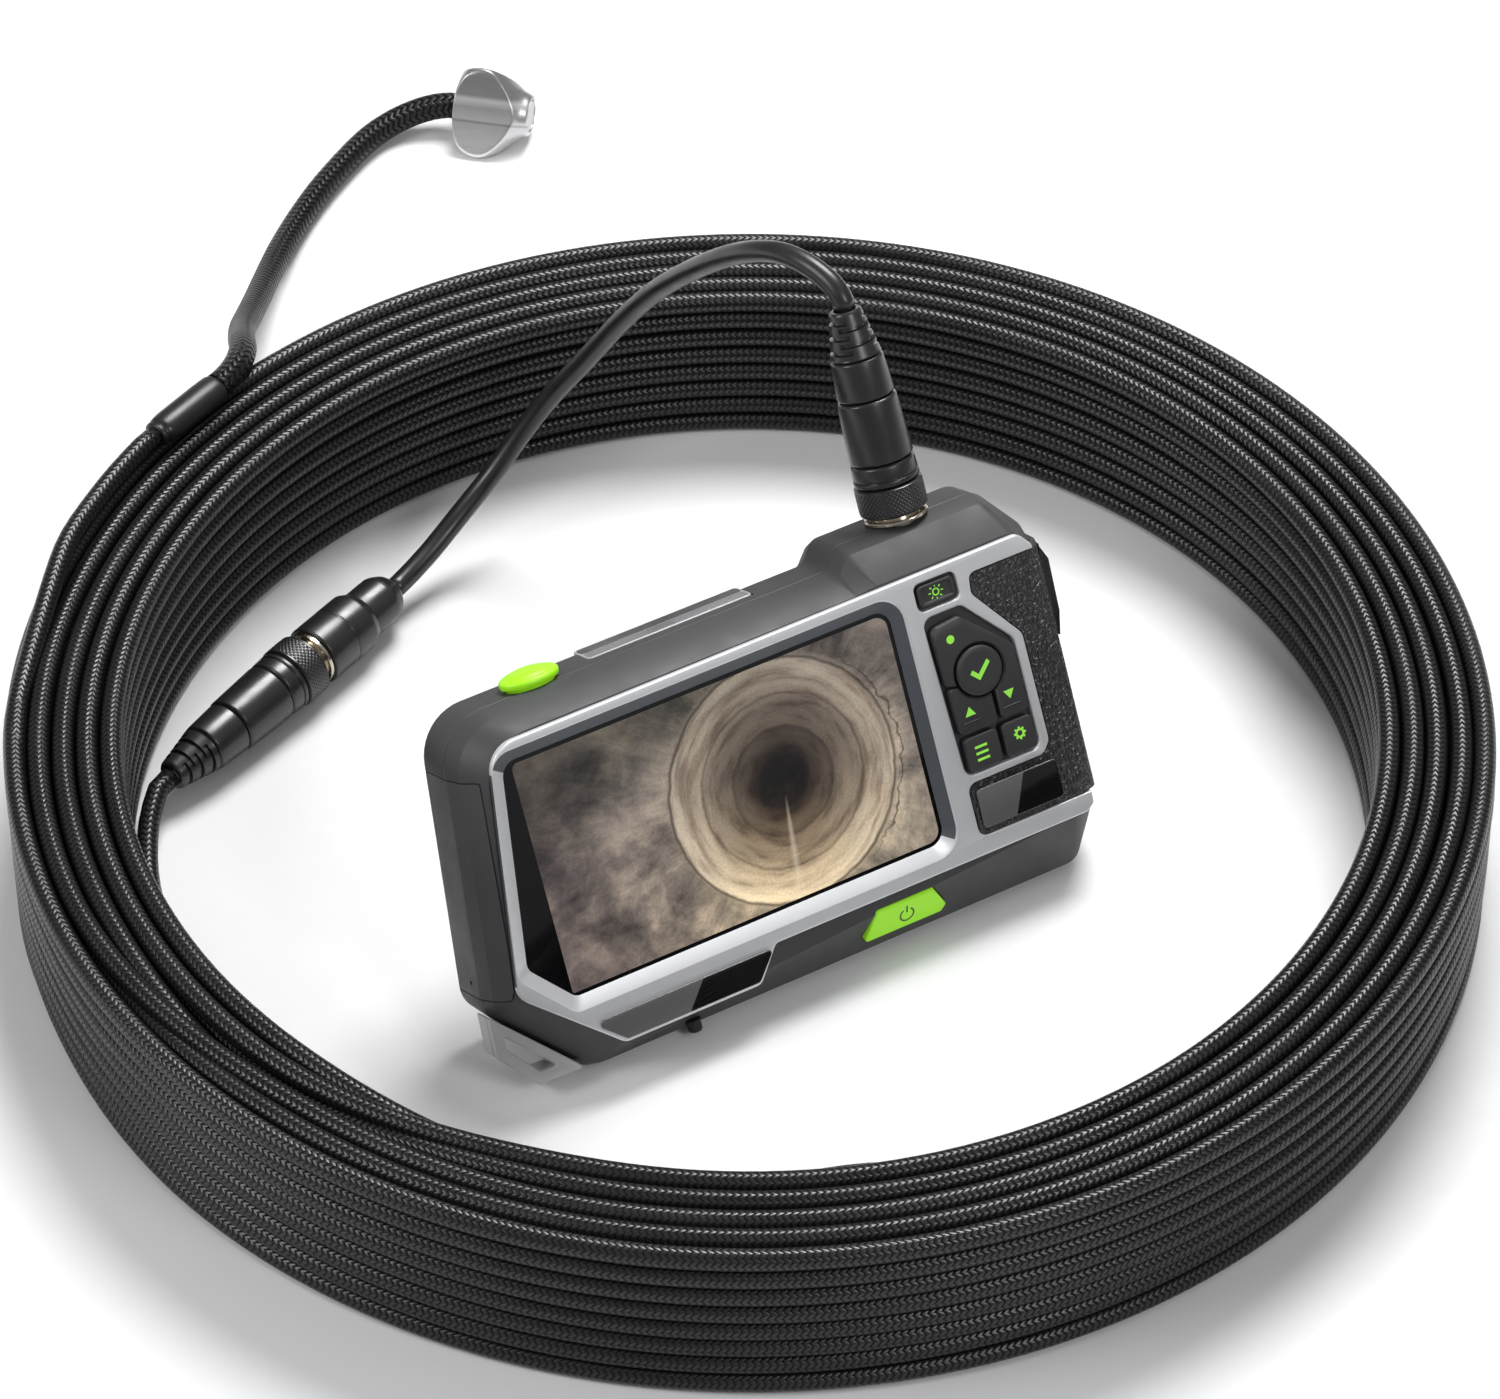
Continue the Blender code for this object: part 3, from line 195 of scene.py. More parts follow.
def moulded(name, colour, rough, grain=0.00004, scale=1800.0, vary=0.12, **more):
    """Moulded plastic or rubber: a fine grain, faint cloudiness and an uneven sheen."""
    g = Graph(name)
    at = g.place()
    fine = g.noise(at, scale, 3.0, 0.6)
    cloud = g.noise(at, 45.0, 3.0)
    light = tuple(min(1.0, c * (1 + vary)) for c in colour)
    g.bump(fine, grain, 0.6)
    return g.finish(Base_Color=g.mix(cloud, dimmed(colour, 1 - vary), light),
                    Roughness=g.scaled(g.noise(at, 120.0, 4.0), 0.3, 0.7, rough - 0.06, rough + 0.06),
                    **more)


def metal(name, colour, rough, grain=0.00001, scale=2500.0, squeeze=(1.0, 1.0, 1.0), metallic=1.0, **more):
    """Plated, painted or brushed metal; squeeze draws the grain out along an axis."""
    g = Graph(name)
    at = g.stretch(g.place(), *squeeze)
    fine = g.noise(at, scale, 4.0, 0.6)
    wear = g.noise(g.place(), 60.0, 4.0, 0.6)
    g.bump(fine, grain, 0.5)
    return g.finish(Base_Color=g.mix(wear, dimmed(colour, 0.93), colour),
                    Roughness=g.scaled(fine, 0.3, 0.7, max(rough - 0.07, 0.03), rough + 0.07),
                    Metallic=metallic, **more)


def braid(name, pitch, rows, height, colour, sheen, rough):
    """Braided sleeve: ribs of crossing strands in rows, each row half a pitch on from the last; the grooves
    between the ribs are painted darker as shade.
    The map runs along (mm) and round (0..1)."""
    g = Graph(name)
    along, about = g.uv()
    row = g.times(about, float(rows))
    swing = g.math("PINGPONG", row, 0.5)
    rib = g.math("ABSOLUTE", g.math("SINE", g.times(g.plus(g.over(along, pitch), swing), math.pi)))
    crest = g.math("ABSOLUTE", g.math("SINE", g.times(row, math.pi)))
    knot = g.times(g.math("POWER", rib, 0.7), g.plus(g.times(crest, 0.35), 0.65))
    g.bump(knot, height)
    # Painted shade: the grooves between the ribs are darkened to a fifth of the colour.
    tone_with_groove_shade = g.mix(knot, dimmed(colour, 0.2), colour)
    worn = g.noise(g.join(g.times(along, 0.02), about), 2.0, 3.0)
    return g.finish(Base_Color=tone_with_groove_shade, Roughness=g.scaled(worn, 0.3, 0.7, rough - 0.05, rough + 0.08),
                    Specular_IOR_Level=g.scaled(knot, 0.1, 0.9, 0.12 * sheen, sheen))


def leather(name, colour):
    """Pebbled leather: rounded grains whose creases are painted dark as shade, finer wrinkles on top."""
    g = Graph(name)
    at = g.stretch(g.place(), 1.0, 1.0, 0.6)
    fold = g.noise(at, 420.0, 3.0, 0.6, 0.4)
    pull = g.vector("MULTIPLY", g.join(fold, fold, fold), (0.0012, 0.0012, 0.0012))
    bent = g.vector("ADD", at, pull)
    grain = g.cells(bent, 720.0)
    swell = g.math("MINIMUM", g.times(grain, 4.0), 1.0)
    height = g.plus(g.times(swell, 0.8), g.times(fold, 0.25))
    g.bump(height, 0.0008)
    # Painted shade: the creases between the grains are darkened to a fifth of the colour.
    return g.finish(Base_Color=g.mix(swell, dimmed(colour, 0.2), colour),
                    Roughness=g.scaled(swell, 0.0, 1.0, 0.6, 0.36), Specular_IOR_Level=0.8)


def polished(name, rough):
    """Brushed steel with soft painted reflection bands along its axis: light and dark stripes across it stand
    in for reflections; the map runs along (mm) and across (mm).
    """
    g = Graph(name)
    along, over = g.uv()
    brush = g.noise(g.join(g.times(along, 0.04), over), 1.6, 4.0, 0.65)
    place = g.plus(g.scaled(over, -30.0, 30.0), g.times(g.minus(brush, 0.5), 0.03))
    # Painted reflections: bright and dark stripes across the head, in place of reflected surroundings.
    band = g.ramp(place, (0.0, (0.86, 0.86, 0.86)), (0.20, (0.78, 0.78, 0.785)),
                  (0.385, (0.62, 0.62, 0.625)), (0.40, (0.36, 0.36, 0.36)), (0.425, (0.70, 0.70, 0.70)),
                  (0.56, (0.52, 0.52, 0.525)), (0.64, (0.85, 0.85, 0.85)), (0.69, (0.38, 0.38, 0.38)),
                  (1.0, (0.33, 0.33, 0.335)))
    g.bump(brush, 0.00004, 0.6)
    return g.finish(Base_Color=g.mix(brush, g.mix(1.0, band, (0.86, 0.86, 0.86), "MULTIPLY"), band),
                    Roughness=g.scaled(brush, 0.3, 0.7, rough - 0.04, rough + 0.06), Metallic=0.75)


def pipe_view():
    """The live picture: down a concrete pipe, rings of joints round a dark middle, grime on the wall.
    The map holds millimetres from the middle of the pipe."""
    g = Graph("live_picture")
    x, y = g.uv()
    reach = g.math("SQRT", g.plus(g.times(x, x), g.times(y, y)))
    turn = g.math("ARCTAN2", y, x)
    depth = g.over(reach, 70.0)
    flat = g.join(x, y)
    wobble = g.times(g.minus(g.noise(flat, 0.16, 3.0), 0.5), 0.022)
    ring = g.plus(depth, wobble)
    wall = g.ramp(ring, (0.0, (0.004, 0.003, 0.003)), (0.105, (0.007, 0.005, 0.005)),
                  (0.145, (0.034, 0.025, 0.020)), (0.20, (0.076, 0.060, 0.047)),
                  (0.225, (0.052, 0.040, 0.032)), (0.235, (0.112, 0.090, 0.070)),
                  (0.31, (0.165, 0.136, 0.108)), (0.352, (0.205, 0.172, 0.137)),
                  (0.36, (0.13, 0.102, 0.08)), (0.37, (0.27, 0.227, 0.18)), (0.42, (0.36, 0.31, 0.247)),
                  (0.495, (0.46, 0.405, 0.33)), (0.506, (0.07, 0.056, 0.045)), (0.517, (0.30, 0.265, 0.22)),
                  (0.62, (0.23, 0.205, 0.18)), (1.0, (0.20, 0.175, 0.155)))
    # Grime runs round the pipe near the joints, and along it further out
    east, north = g.over(x, reach), g.over(y, reach)
    round_grime = g.noise(g.stretch(g.join(east, north, ring), 1.0, 1.0, 15.0), 1.3, 5.0, 0.55)
    long_grime = g.noise(g.stretch(g.join(east, north, ring), 4.5, 4.5, 1.4), 2.0, 8.0, 0.72, 0.5)
    blotch = g.noise(flat, 0.045, 7.0, 0.66, 0.3)
    speck = g.noise(flat, 1.3, 5.0, 0.75)
    shade_a = g.ramp(round_grime, (0.36, (0.50, 0.45, 0.43)), (0.50, (0.92, 0.92, 0.92)),
                     (0.66, (1.18, 1.18, 1.16)))
    shade_b = g.ramp(g.plus(g.times(long_grime, 0.3), g.times(blotch, 0.7)),
                     (0.38, (0.22, 0.22, 0.24)), (0.49, (0.70, 0.69, 0.70)), (0.62, (1.5, 1.45, 1.38)))
    outside = g.scaled(ring, 0.50, 0.53)
    grime = g.mix(outside, shade_a, shade_b)
    picture = g.mix(1.0, wall, grime, "MULTIPLY")
    # The invert is pale and clean, the crown and the left wall are stained
    floor = g.math("COSINE", g.plus(turn, math.pi / 2 + 0.2))
    light = g.ramp(g.scaled(floor, -1.0, 1.0), (0.0, (0.62, 0.60, 0.60)), (0.45, (0.85, 0.83, 0.82)),
                   (0.8, (1.25, 1.2, 1.08)), (1.0, (1.5, 1.38, 1.12)))
    picture = g.mix(1.0, picture, light, "MULTIPLY")
    west = g.scaled(g.plus(x, g.times(blotch, 40.0)), -55.0, 0.0, 0.8, 0.0)
    picture = g.mix(west, picture, g.mix(1.0, picture, (0.42, 0.40, 0.50), "MULTIPLY"))
    crown = g.scaled(g.minus(y, g.times(x, 0.35)), 22.0, 46.0, 0.0, 0.75)
    picture = g.mix(crown, picture, g.mix(1.0, picture, (0.36, 0.38, 0.30), "MULTIPLY"))
    # The water line: a pale wedge that widens towards the viewer
    lean = g.minus(x, g.times(y, 0.10))
    width = g.plus(g.times(reach, 0.055), 0.2)
    line = g.minus(1.0, g.over(g.math("ABSOLUTE", lean), width), True)
    below = g.scaled(y, -4.0, -12.0)
    near = g.scaled(reach, 36.0, 30.0)
    line = g.times(g.times(line, below), near, True)
    picture = g.mix(g.times(line, 0.35), picture, (0.66, 0.58, 0.46))
    # A hairline crack beside the large joint
    crack = g.math("ABSOLUTE", g.minus(g.plus(reach, g.times(g.noise(flat, 0.25, 4.0), 5.0)), 40.2))
    crack = g.times(g.scaled(crack, 0.45, 0.1), g.scaled(x, 18.0, 30.0), True)
    picture = g.mix(g.times(crack, 0.8), picture, (0.04, 0.03, 0.02))
    picture = g.mix(0.35, picture, g.ramp(speck, (0.3, (0.35, 0.33, 0.32)), (0.7, (1.5, 1.45, 1.4))),
                    "MULTIPLY")
    g.put(g.shader.inputs["Emission Color"], picture)
    return g.finish(Base_Color=g.mix(1.0, picture, (0.12, 0.12, 0.12), "MULTIPLY"), Emission_Strength=1.35,
                    Roughness=0.3, Coat_Weight=0.35, Coat_Roughness=0.05)


MATS = {
    "case": moulded("case_charcoal", (0.052, 0.052, 0.054), 0.50, Specular_IOR_Level=0.45),
    "guard": moulded("guard_rubber", (0.060, 0.060, 0.063), 0.55),
    "silver": metal("satin_silver", (0.80, 0.81, 0.83), 0.36, 0.000008, 3000.0, metallic=0.45),
    "border": moulded("glass_border", (0.004, 0.004, 0.005), 0.12, 0.0, 90.0, Coat_Weight=0.5,
                      Coat_Roughness=0.04),
    "picture": pipe_view(),
    "badge_grey": metal("badge_grey", (0.19, 0.187, 0.187), 0.34, 0.0000005, 500.0, (1.0, 0.1, 6.0), 0.5,
                        Coat_Weight=0.3, Coat_Roughness=0.1),
    "badge_black": moulded("badge_black", (0.006, 0.006, 0.006), 0.12, 0.000003, Coat_Weight=0.4,
                           Coat_Roughness=0.05),
    "leather": leather("pebbled_leather", (0.036, 0.036, 0.037)),
    "facet": moulded("thumb_rest", (0.018, 0.018, 0.019), 0.30, 0.00005, 900.0, Specular_IOR_Level=0.6),
    "key": moulded("key_rubber", (0.036, 0.036, 0.038), 0.48),
    "rubber": moulded("black_rubber", (0.008, 0.008, 0.008), 0.6),
    # The lime plastic is given a faint emission: painted glow, as the buttons hold no lamp.
    "lime": moulded("lime_plastic_painted_glow", (0.36, 0.86, 0.012), 0.34, 0.00001, vary=0.05,
                    Emission_Color=(0.36, 0.86, 0.012), Emission_Strength=0.12),
    # The lime key icons are given an emission: painted glow, as the keys hold no lamp.
    "icon": moulded("icon_lime_painted_glow", (0.28, 0.75, 0.07), 0.4, 0.00001, vary=0.05,
                    Emission_Color=(0.28, 0.75, 0.07), Emission_Strength=0.35),
    "ink": moulded("icon_ink", (0.012, 0.04, 0.004), 0.4, 0.00001, vary=0.05),
    "cover": moulded("port_cover", (0.13, 0.13, 0.135), 0.3, 0.00001, Coat_Weight=0.3, Coat_Roughness=0.1),
    "cover_dark": moulded("port_cover_dark", (0.05, 0.05, 0.052), 0.3, 0.00001),
    "light_metal": metal("blasted_silver", (0.44, 0.44, 0.445), 0.36, 0.00001, 2200.0, metallic=0.25),
    "steel": polished("head_steel_painted_reflections", 0.3),
    # Painted shade: a darker slate metal for the bezel's slopes that face down or left.
    "slate": metal("bezel_slope_painted_shade", (0.11, 0.12, 0.135), 0.4, 0.000002, metallic=0.3),
    "screw": metal("screw_steel", (0.42, 0.42, 0.43), 0.3, 0.00001, 2000.0),
    "brass": metal("brass", (0.62, 0.44, 0.2), 0.3, 0.00001, 2200.0),
    "nickel": metal("nickel_thread", (0.66, 0.60, 0.50), 0.2, 0.00001, 1800.0),
    "board": moulded("circuit_board", (0.02, 0.10, 0.04), 0.5, 0.0001, 260.0, 0.5),
    "cell": moulded("battery_wrap", (0.05, 0.06, 0.2), 0.35, 0.00002, 900.0),
    "dark": moulded("dark_plastic", (0.012, 0.012, 0.013), 0.45),
    "connector": moulded("connector_black", (0.014, 0.014, 0.015), 0.30, 0.00002, 1500.0,
                         Specular_IOR_Level=0.7),
    "lead": moulded("lead_jacket", (0.012, 0.012, 0.0125), 0.34, 0.00003, 1200.0, Specular_IOR_Level=0.6),
    "sleeve": moulded("sleeve_rubber", (0.011, 0.011, 0.0115), 0.36, 0.00003, 1400.0,
                      Specular_IOR_Level=0.5),
    "cable": braid("push_cable_braid", 2.0, 8, 0.00014, (0.0095, 0.0095, 0.010), 0.62, 0.31),
    "neck": braid("gooseneck_braid", 2.5, 8, 0.00042, (0.008, 0.008, 0.0085), 0.42, 0.40),
    "lens": moulded("lens_glass", (0.006, 0.008, 0.012), 0.05, 0.000001, Coat_Weight=1.0,
                    Coat_Roughness=0.02),
    "led": moulded("led_ring", (0.8, 0.86, 0.95), 0.3, 0.00001, vary=0.04, Emission_Color=(0.7, 0.85, 1.0),
                   Emission_Strength=0.6),
}


# ---------------------------------------------------------------------------------------------
# Shapes


def fillet(corners, steps=8):
    """The closed outline through (x, z, radius) corners, clockwise, each rounded in as many steps."""
    points = []
    for index, (x, z, radius) in enumerate(corners):
        here = Vector((x, z))
        to_last = (Vector(corners[index - 1][:2]) - here).normalized()
        to_next = (Vector(corners[(index + 1) % len(corners)][:2]) - here).normalized()
        half = to_last.angle(to_next) / 2
        centre = here + (to_last + to_next).normalized() * (radius / math.sin(half))
        start = here + to_last * (radius / math.tan(half)) - centre
        sweep = start.angle_signed(here + to_next * (radius / math.tan(half)) - centre)
        for step in range(steps + 1):
            turned_by = start.copy()
            turned_by.rotate(Matrix.Rotation(-sweep * step / steps, 2))
            points.append(centre + turned_by)
    return points


def inset(corners, amount):
    """The corners moved inwards by the amount; negative moves them out."""
    moved = []
    for index, (x, z, radius) in enumerate(corners):
        here = Vector((x, z))
        a = (here - Vector(corners[index - 1][:2])).normalized()
        b = (Vector(corners[(index + 1) % len(corners)][:2]) - here).normalized()
        inward_a, inward_b = Vector((a.y, -a.x)), Vector((b.y, -b.x))
        bisector = (inward_a + inward_b).normalized()
        shift = bisector * (amount / max(bisector.dot(inward_a), 0.3))
        moved.append((x + shift.x, z + shift.y, max(radius - amount, 0.3)))
    return moved


def oblong(x0, x1, z0, z1, radius):
    """The corners of an upright rectangle."""
    return [(x0, z0, radius), (x0, z1, radius), (x1, z1, radius), (x1, z0, radius)]


def quarter(steps, first=0):
    """(1 - sine, 1 - cosine) at even steps of a quarter turn, for rounding an edge."""
    turns = [math.pi / 2 * step / steps for step in range(first, steps + 1)]
    return [(1 - math.sin(turn), 1 - math.cos(turn)) for turn in turns]


def shifted(corners, shifts):
    return [(x + dx, z + dz, r) for (x, z, r), (dx, dz) in zip(corners, shifts)]


def skin(bm, rings):
    """A closed body through rings of matching points."""
    loops = [[bm.verts.new(point) for point in ring] for ring in rings]
    for low, high in zip(loops, loops[1:]):
        for index in range(len(low)):
            after = (index + 1) % len(low)
            bm.faces.new((low[index], low[after], high[after], high[index]))
    bm.faces.new(loops[0])
    bm.faces.new(list(reversed(loops[-1])))


def add_object(name, data):
    obj = bpy.data.objects.new(name, data)
    bpy.context.scene.collection.objects.link(obj)
    return obj


def shade(mesh, angle):
    mesh.shade_smooth()
    mesh.set_sharp_from_angle(angle=math.radians(angle))


def to_object(name, bm, mat, place, angle=30.0):
    bmesh.ops.recalc_face_normals(bm, faces=bm.faces)
    bmesh.ops.transform(bm, matrix=place, verts=bm.verts)
    mesh = bpy.data.meshes.new(name)
    bm.to_mesh(mesh)
    bm.free()
    shade(mesh, angle)
    if mat:
        mesh.materials.append(MATS[mat])
    return add_object(name, mesh)


def loft(name, sections, mat=None, place=HANDSET, steps=8, angle=30.0):
    """A body through (depth, corners) sections of the handset."""
    bm = bmesh.new()
    skin(bm, [[(p.x, depth, p.y) for p in fillet(corners, steps)] for depth, corners in sections])
    return to_object(name, bm, mat, place, angle)


def rounded_plate(name, corners, front, back, mat, edge=0.4):
    """A plate whose front edge is rounded."""
    sections = [(front + edge * a, inset(corners, edge * b)) for a, b in quarter(4)]
    return loft(name, [(back, corners)] + sections, mat, angle=40.0)


def turned(name, profile, mat=None, place=HANDSET, segments=96, squash=1.0, angle=32.0, ripple=None):
    """A body turned about z from a closed or axis-to-axis (radius, z) profile; ripple moves its points."""
    bm = bmesh.new()
    loops = []
    for radius, z in profile:
        if radius == 0:
            loops.append([bm.verts.new((0, 0, z))])
            continue
        ring = []
        for index in range(segments):
            turn = 2 * math.pi * index / segments
            reach = radius + (ripple(turn, z, radius) if ripple else 0.0)
            ring.append(bm.verts.new((reach * math.cos(turn), squash * reach * math.sin(turn), z)))
        loops.append(ring)
    pairs = list(zip(loops, loops[1:]))
    if profile[0][0] != 0:
        pairs.append((loops[-1], loops[0]))
    for low, high in pairs:
        for index in range(segments):
            after = (index + 1) % segments
            face = [low[index % len(low)], low[after % len(low)], high[after % len(high)],
                    high[index % len(high)]]
            bm.faces.new(list(dict.fromkeys(face)))
    return to_object(name, bm, mat, place, angle)


def rod(name, radius, low, high, place, segments):
    """A round cutter along the place's z."""
    return turned(name, [(0, low), (radius, low), (radius, high), (0, high)], None, place, segments)


def rounded_profile(points, radius, steps):
    """A closed (radius, z) or (x, y) profile with each corner rounded by up to the radius."""
    result = []
    for index, point in enumerate(points):
        here = Vector(point)
        before, after = Vector(points[index - 1]) - here, Vector(points[(index + 1) % len(points)]) - here
        if here.x == 0 or before.length < 1e-6 or after.length < 1e-6:
            result.append((here.x, here.y))
            continue
        trim = min(radius, before.length * 0.45, after.length * 0.45)
        a, b = here + before.normalized() * trim, here + after.normalized() * trim
        for step in range(steps + 1):
            t = step / steps
            p = a * (1 - t) ** 2 + here * (2 * t * (1 - t)) + b * t ** 2
            result.append((p.x, p.y))
    return result


def settle(obj, angle=30.0):
    """Applies the object's modifiers and shades it smooth up to an angle."""
    graph = bpy.context.evaluated_depsgraph_get()
    mesh = bpy.data.meshes.new_from_object(obj.evaluated_get(graph))
    obj.modifiers.clear()
    obj.data = mesh
    shade(mesh, angle)
    return obj


def bevel(obj, width, segments=3, angle=25.0):
    modifier = obj.modifiers.new("edges", "BEVEL")
    modifier.width = width * MM
    modifier.segments = segments
    modifier.limit_method = "ANGLE"
    modifier.angle_limit = math.radians(angle)
    modifier.use_clamp_overlap = True
    return obj


def cut(obj, *cutters, operation="DIFFERENCE", angle=30.0):
    """Booleans, applied at once; the cutters are removed by clear_cutters."""
    for cutter in cutters:
        modifier = obj.modifiers.new("cut", "BOOLEAN")
        modifier.operation = operation
        modifier.object = cutter
        modifier.solver = "EXACT"
    return settle(obj, angle)


def clear_cutters():
    for obj in [o for o in bpy.data.objects if o.name.startswith("tool_")]:
        bpy.data.objects.remove(obj)


def map_from(obj, place, function):
    """Writes the mesh's map from a function of a vertex's place in the frame that it was built in."""
    back = place.inverted()
    layer = obj.data.uv_layers.new(name="map")
    spots = [function(back @ v.co) for v in obj.data.vertices]
    for loop in obj.data.loops:
        layer.data[loop.index].uv = spots[loop.vertex_index]


def piece(obj, slot, *nodes, body="handset_body"):
    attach(obj, body)
    if nodes:
        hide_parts(*nodes)


# ---------------------------------------------------------------------------------------------
# Cords


def smooth_route(points, spacing):
    """Points at an even spacing along a Catmull-Rom curve through the route's own points."""
    knots = [np.array(p, float) for p in points]
    ends = [2 * knots[0] - knots[1]] + knots + [2 * knots[-1] - knots[-2]]
    fine = []
    for a, b, c, d in zip(ends, ends[1:], ends[2:], ends[3:]):
        for step in range(24):
            t = step / 24
            fine.append(0.5 * ((2 * b) + (c - a) * t + (2 * a - 5 * b + 4 * c - d) * t ** 2
                               + (3 * b - a - 3 * c + d) * t ** 3))
    fine.append(knots[-1])
    return resampled(np.array(fine), spacing)


def resampled(line, spacing):
    walked = np.concatenate([[0], np.cumsum(np.linalg.norm(np.diff(line, axis=0), axis=1))])
    at = np.linspace(0, walked[-1], max(2, round(walked[-1] / spacing)) + 1)
    return np.stack([np.interp(at, walked, line[:, k]) for k in range(3)], axis=1)


def relaxed(line, rounds):
    """The line with small kinks smoothed away; its ends stay."""
    line = line.copy()
    for _ in range(rounds):
        line[2:-2] = 0.25 * line[1:-3] + 0.5 * line[2:-2] + 0.25 * line[3:-1]
    return line


def cord_mesh(name, line, radius, sides, mat):
    """A tube along a line (mm, from the coil's centre), mapped along (mm) and round (0..1)."""
    ahead = np.gradient(line, axis=0)
    ahead /= np.linalg.norm(ahead, axis=1)[:, None]
    across = np.empty_like(line)
    side = np.cross(ahead[0], (0.0, 0.0, 1.0))
    for index, direction in enumerate(ahead):
        side = side - direction * side.dot(direction)
        side /= np.linalg.norm(side)
        across[index] = side
    over = np.cross(across, ahead)
    walked = np.concatenate([[0], np.cumsum(np.linalg.norm(np.diff(line, axis=0), axis=1))])
    turns = 2 * np.pi * np.arange(sides) / sides
    rings = (line[:, None] + radius * (np.cos(turns)[None, :, None] * across[:, None]
                                       + np.sin(turns)[None, :, None] * over[:, None]))
    count = len(line)
    verts = np.concatenate([rings.reshape(-1, 3), line[:1] - ahead[:1] * radius * 0.4,
                            line[-1:] + ahead[-1:] * radius * 0.4])
    verts = (verts + np.array(COIL_AT)) * MM
    i, j = np.meshgrid(np.arange(count - 1), np.arange(sides), indexing="ij")
    k = (j + 1) % sides
    quads = np.stack([i * sides + j, i * sides + k, (i + 1) * sides + k, (i + 1) * sides + j],
                     axis=-1).reshape(-1, 4)
    quads = quads[:, ::-1]
    u = np.stack([walked[i], walked[i], walked[i + 1], walked[i + 1]], axis=-1)
    v = np.stack([j, j + 1, j + 1, j], axis=-1) / sides
    uv = np.stack([u, v], axis=-1).reshape(-1, 4, 2)[:, ::-1]
    first, last = count * sides, count * sides + 1
    base = (count - 1) * sides
    caps = [(first, (n + 1) % sides, n) for n in range(sides)]
    caps += [(last, base + n, base + (n + 1) % sides) for n in range(sides)]
    faces = [tuple(q) for q in quads.tolist()] + [tuple(reversed(c)) for c in caps]
    mesh = bpy.data.meshes.new(name)
    mesh.from_pydata(verts.tolist(), [], faces)
    layer = mesh.uv_layers.new(name="map")
    flat = np.zeros((len(mesh.loops), 2), np.float32)
    flat[:uv.size // 2] = uv.reshape(-1, 2)
    layer.data.foreach_set("uv", flat.ravel())
    mesh.shade_smooth()
    mesh.materials.append(MATS[mat])
    mesh.validate()
    obj = add_object(name, mesh)
    path = (line + np.array(COIL_AT)) * MM
    return obj, path.tolist()


def unit(degrees):
    angle = math.radians(degrees)
    return Vector((math.cos(angle), math.sin(angle), 0.0))


LEAD_ROUTE = [
    (48.6, 40.2, 161.6),
    (46.4, 47.2, 162.8),
    (44.1, 56.5, 161.0),
    (41.7, 66.9, 155.4),
    (39.6, 78.1, 146.8),
    (37.9, 89.6, 136.0),
    (36.5, 101.2, 124.0),
    (35.0, 112.1, 111.7),
    (33.2, 121.3, 99.5),
    (30.7, 128.8, 88.0),
    (27.7, 134.6, 77.5),
    (24.0, 139.3, 68.0),
    (19.6, 143.3, 59.5),
    (14.9, 146.2, 51.6),
    (9.9, 147.9, 44.2),
    (4.8, 148.7, 37.3),
    (-0.6, 148.7, 31.0),
    (-6.7, 148.2, 25.6),
    (-13.3, 147.1, 21.0),
    (-20.0, 145.5, 16.9),
    (-27.3, 143.1, 13.5),
]
TAIL_ROUTE = [
    (-142.5, 96.3, 10.0),
    (-145.7, 94.0, 9.6),
    (-148.4, 91.2, 8.8),
    (-150.9, 87.6, 7.6),
    (-154.8, 80.6, 5.4),
    (-158.6, 73.2, 3.9),
    (-162.1, 63.8, 3.6),
    (-165.2, 49.9, 3.6),
    (-167.8, 29.6, 3.6),
    (-168.5, 5.9, 3.6),
    (-166.2, -23.4, 3.6),
    (-157.5, -57.3, 3.6),
    (-142.1, -88.8, 3.6),
    (-120.6, -116.5, 3.6),
    (-93.9, -139.2, 3.6),
    (-73.7, -151.2, 3.6),
    (-57.7, -158.4, 3.6),
    (-48.4, -162.3, 6.3),
    (-41.7, -165.4, 13.7),
    (-39.4, -167.4, 23.8),
    (-42.3, -168.0, 33.9),
    (-49.8, -166.8, 41.3),
    (-59.7, -164.1, 44.0),
    (-73.8, -158.3, 43.2),
    (-88.7, -150.5, 39.4),
    (-102.7, -141.3, 32.2),
    (-115.8, -130.8, 22.6),
    (-127.8, -119.1, 13.2),
    (-137.6, -107.5, 6.8),
    (-146.3, -95.0, 4.0),
    (-154.1, -81.9, 3.6),
]
EXIT_ROUTE = [
    (-140.6, 154.8, 58.2),
    (-132.0, 162.1, 58.2),
    (-122.8, 169.0, 58.3),
    (-114.6, 174.6, 58.8),
]
NECK_ROUTE = [
    (-61.4, 199.2, 59.5),
    (-57.3, 203.9, 58.5),
    (-53.6, 210.1, 55.8),
    (-50.0, 218.4, 50.6),
    (-45.4, 228.6, 43.0),
    (-38.4, 242.6, 33.6),
    (-29.5, 256.2, 25.4),
    (-19.6, 270.6, 17.6),
    (-8.4, 286.0, 10.8),
    (3.4, 300.2, 6.6),
    (16.0, 312.4, 4.6),
    (29.0, 322.6, 4.4),
    (42.6, 331.4, 4.4),
    (54.2, 337.8, 4.6),
    (61.8, 340.4, 5.0),
    (69.0, 340.8, 6.2),
    (75.0, 339.4, 7.8),
]
RUN_IN, GAP = 5.0, 0.3
PER_TURN = 60


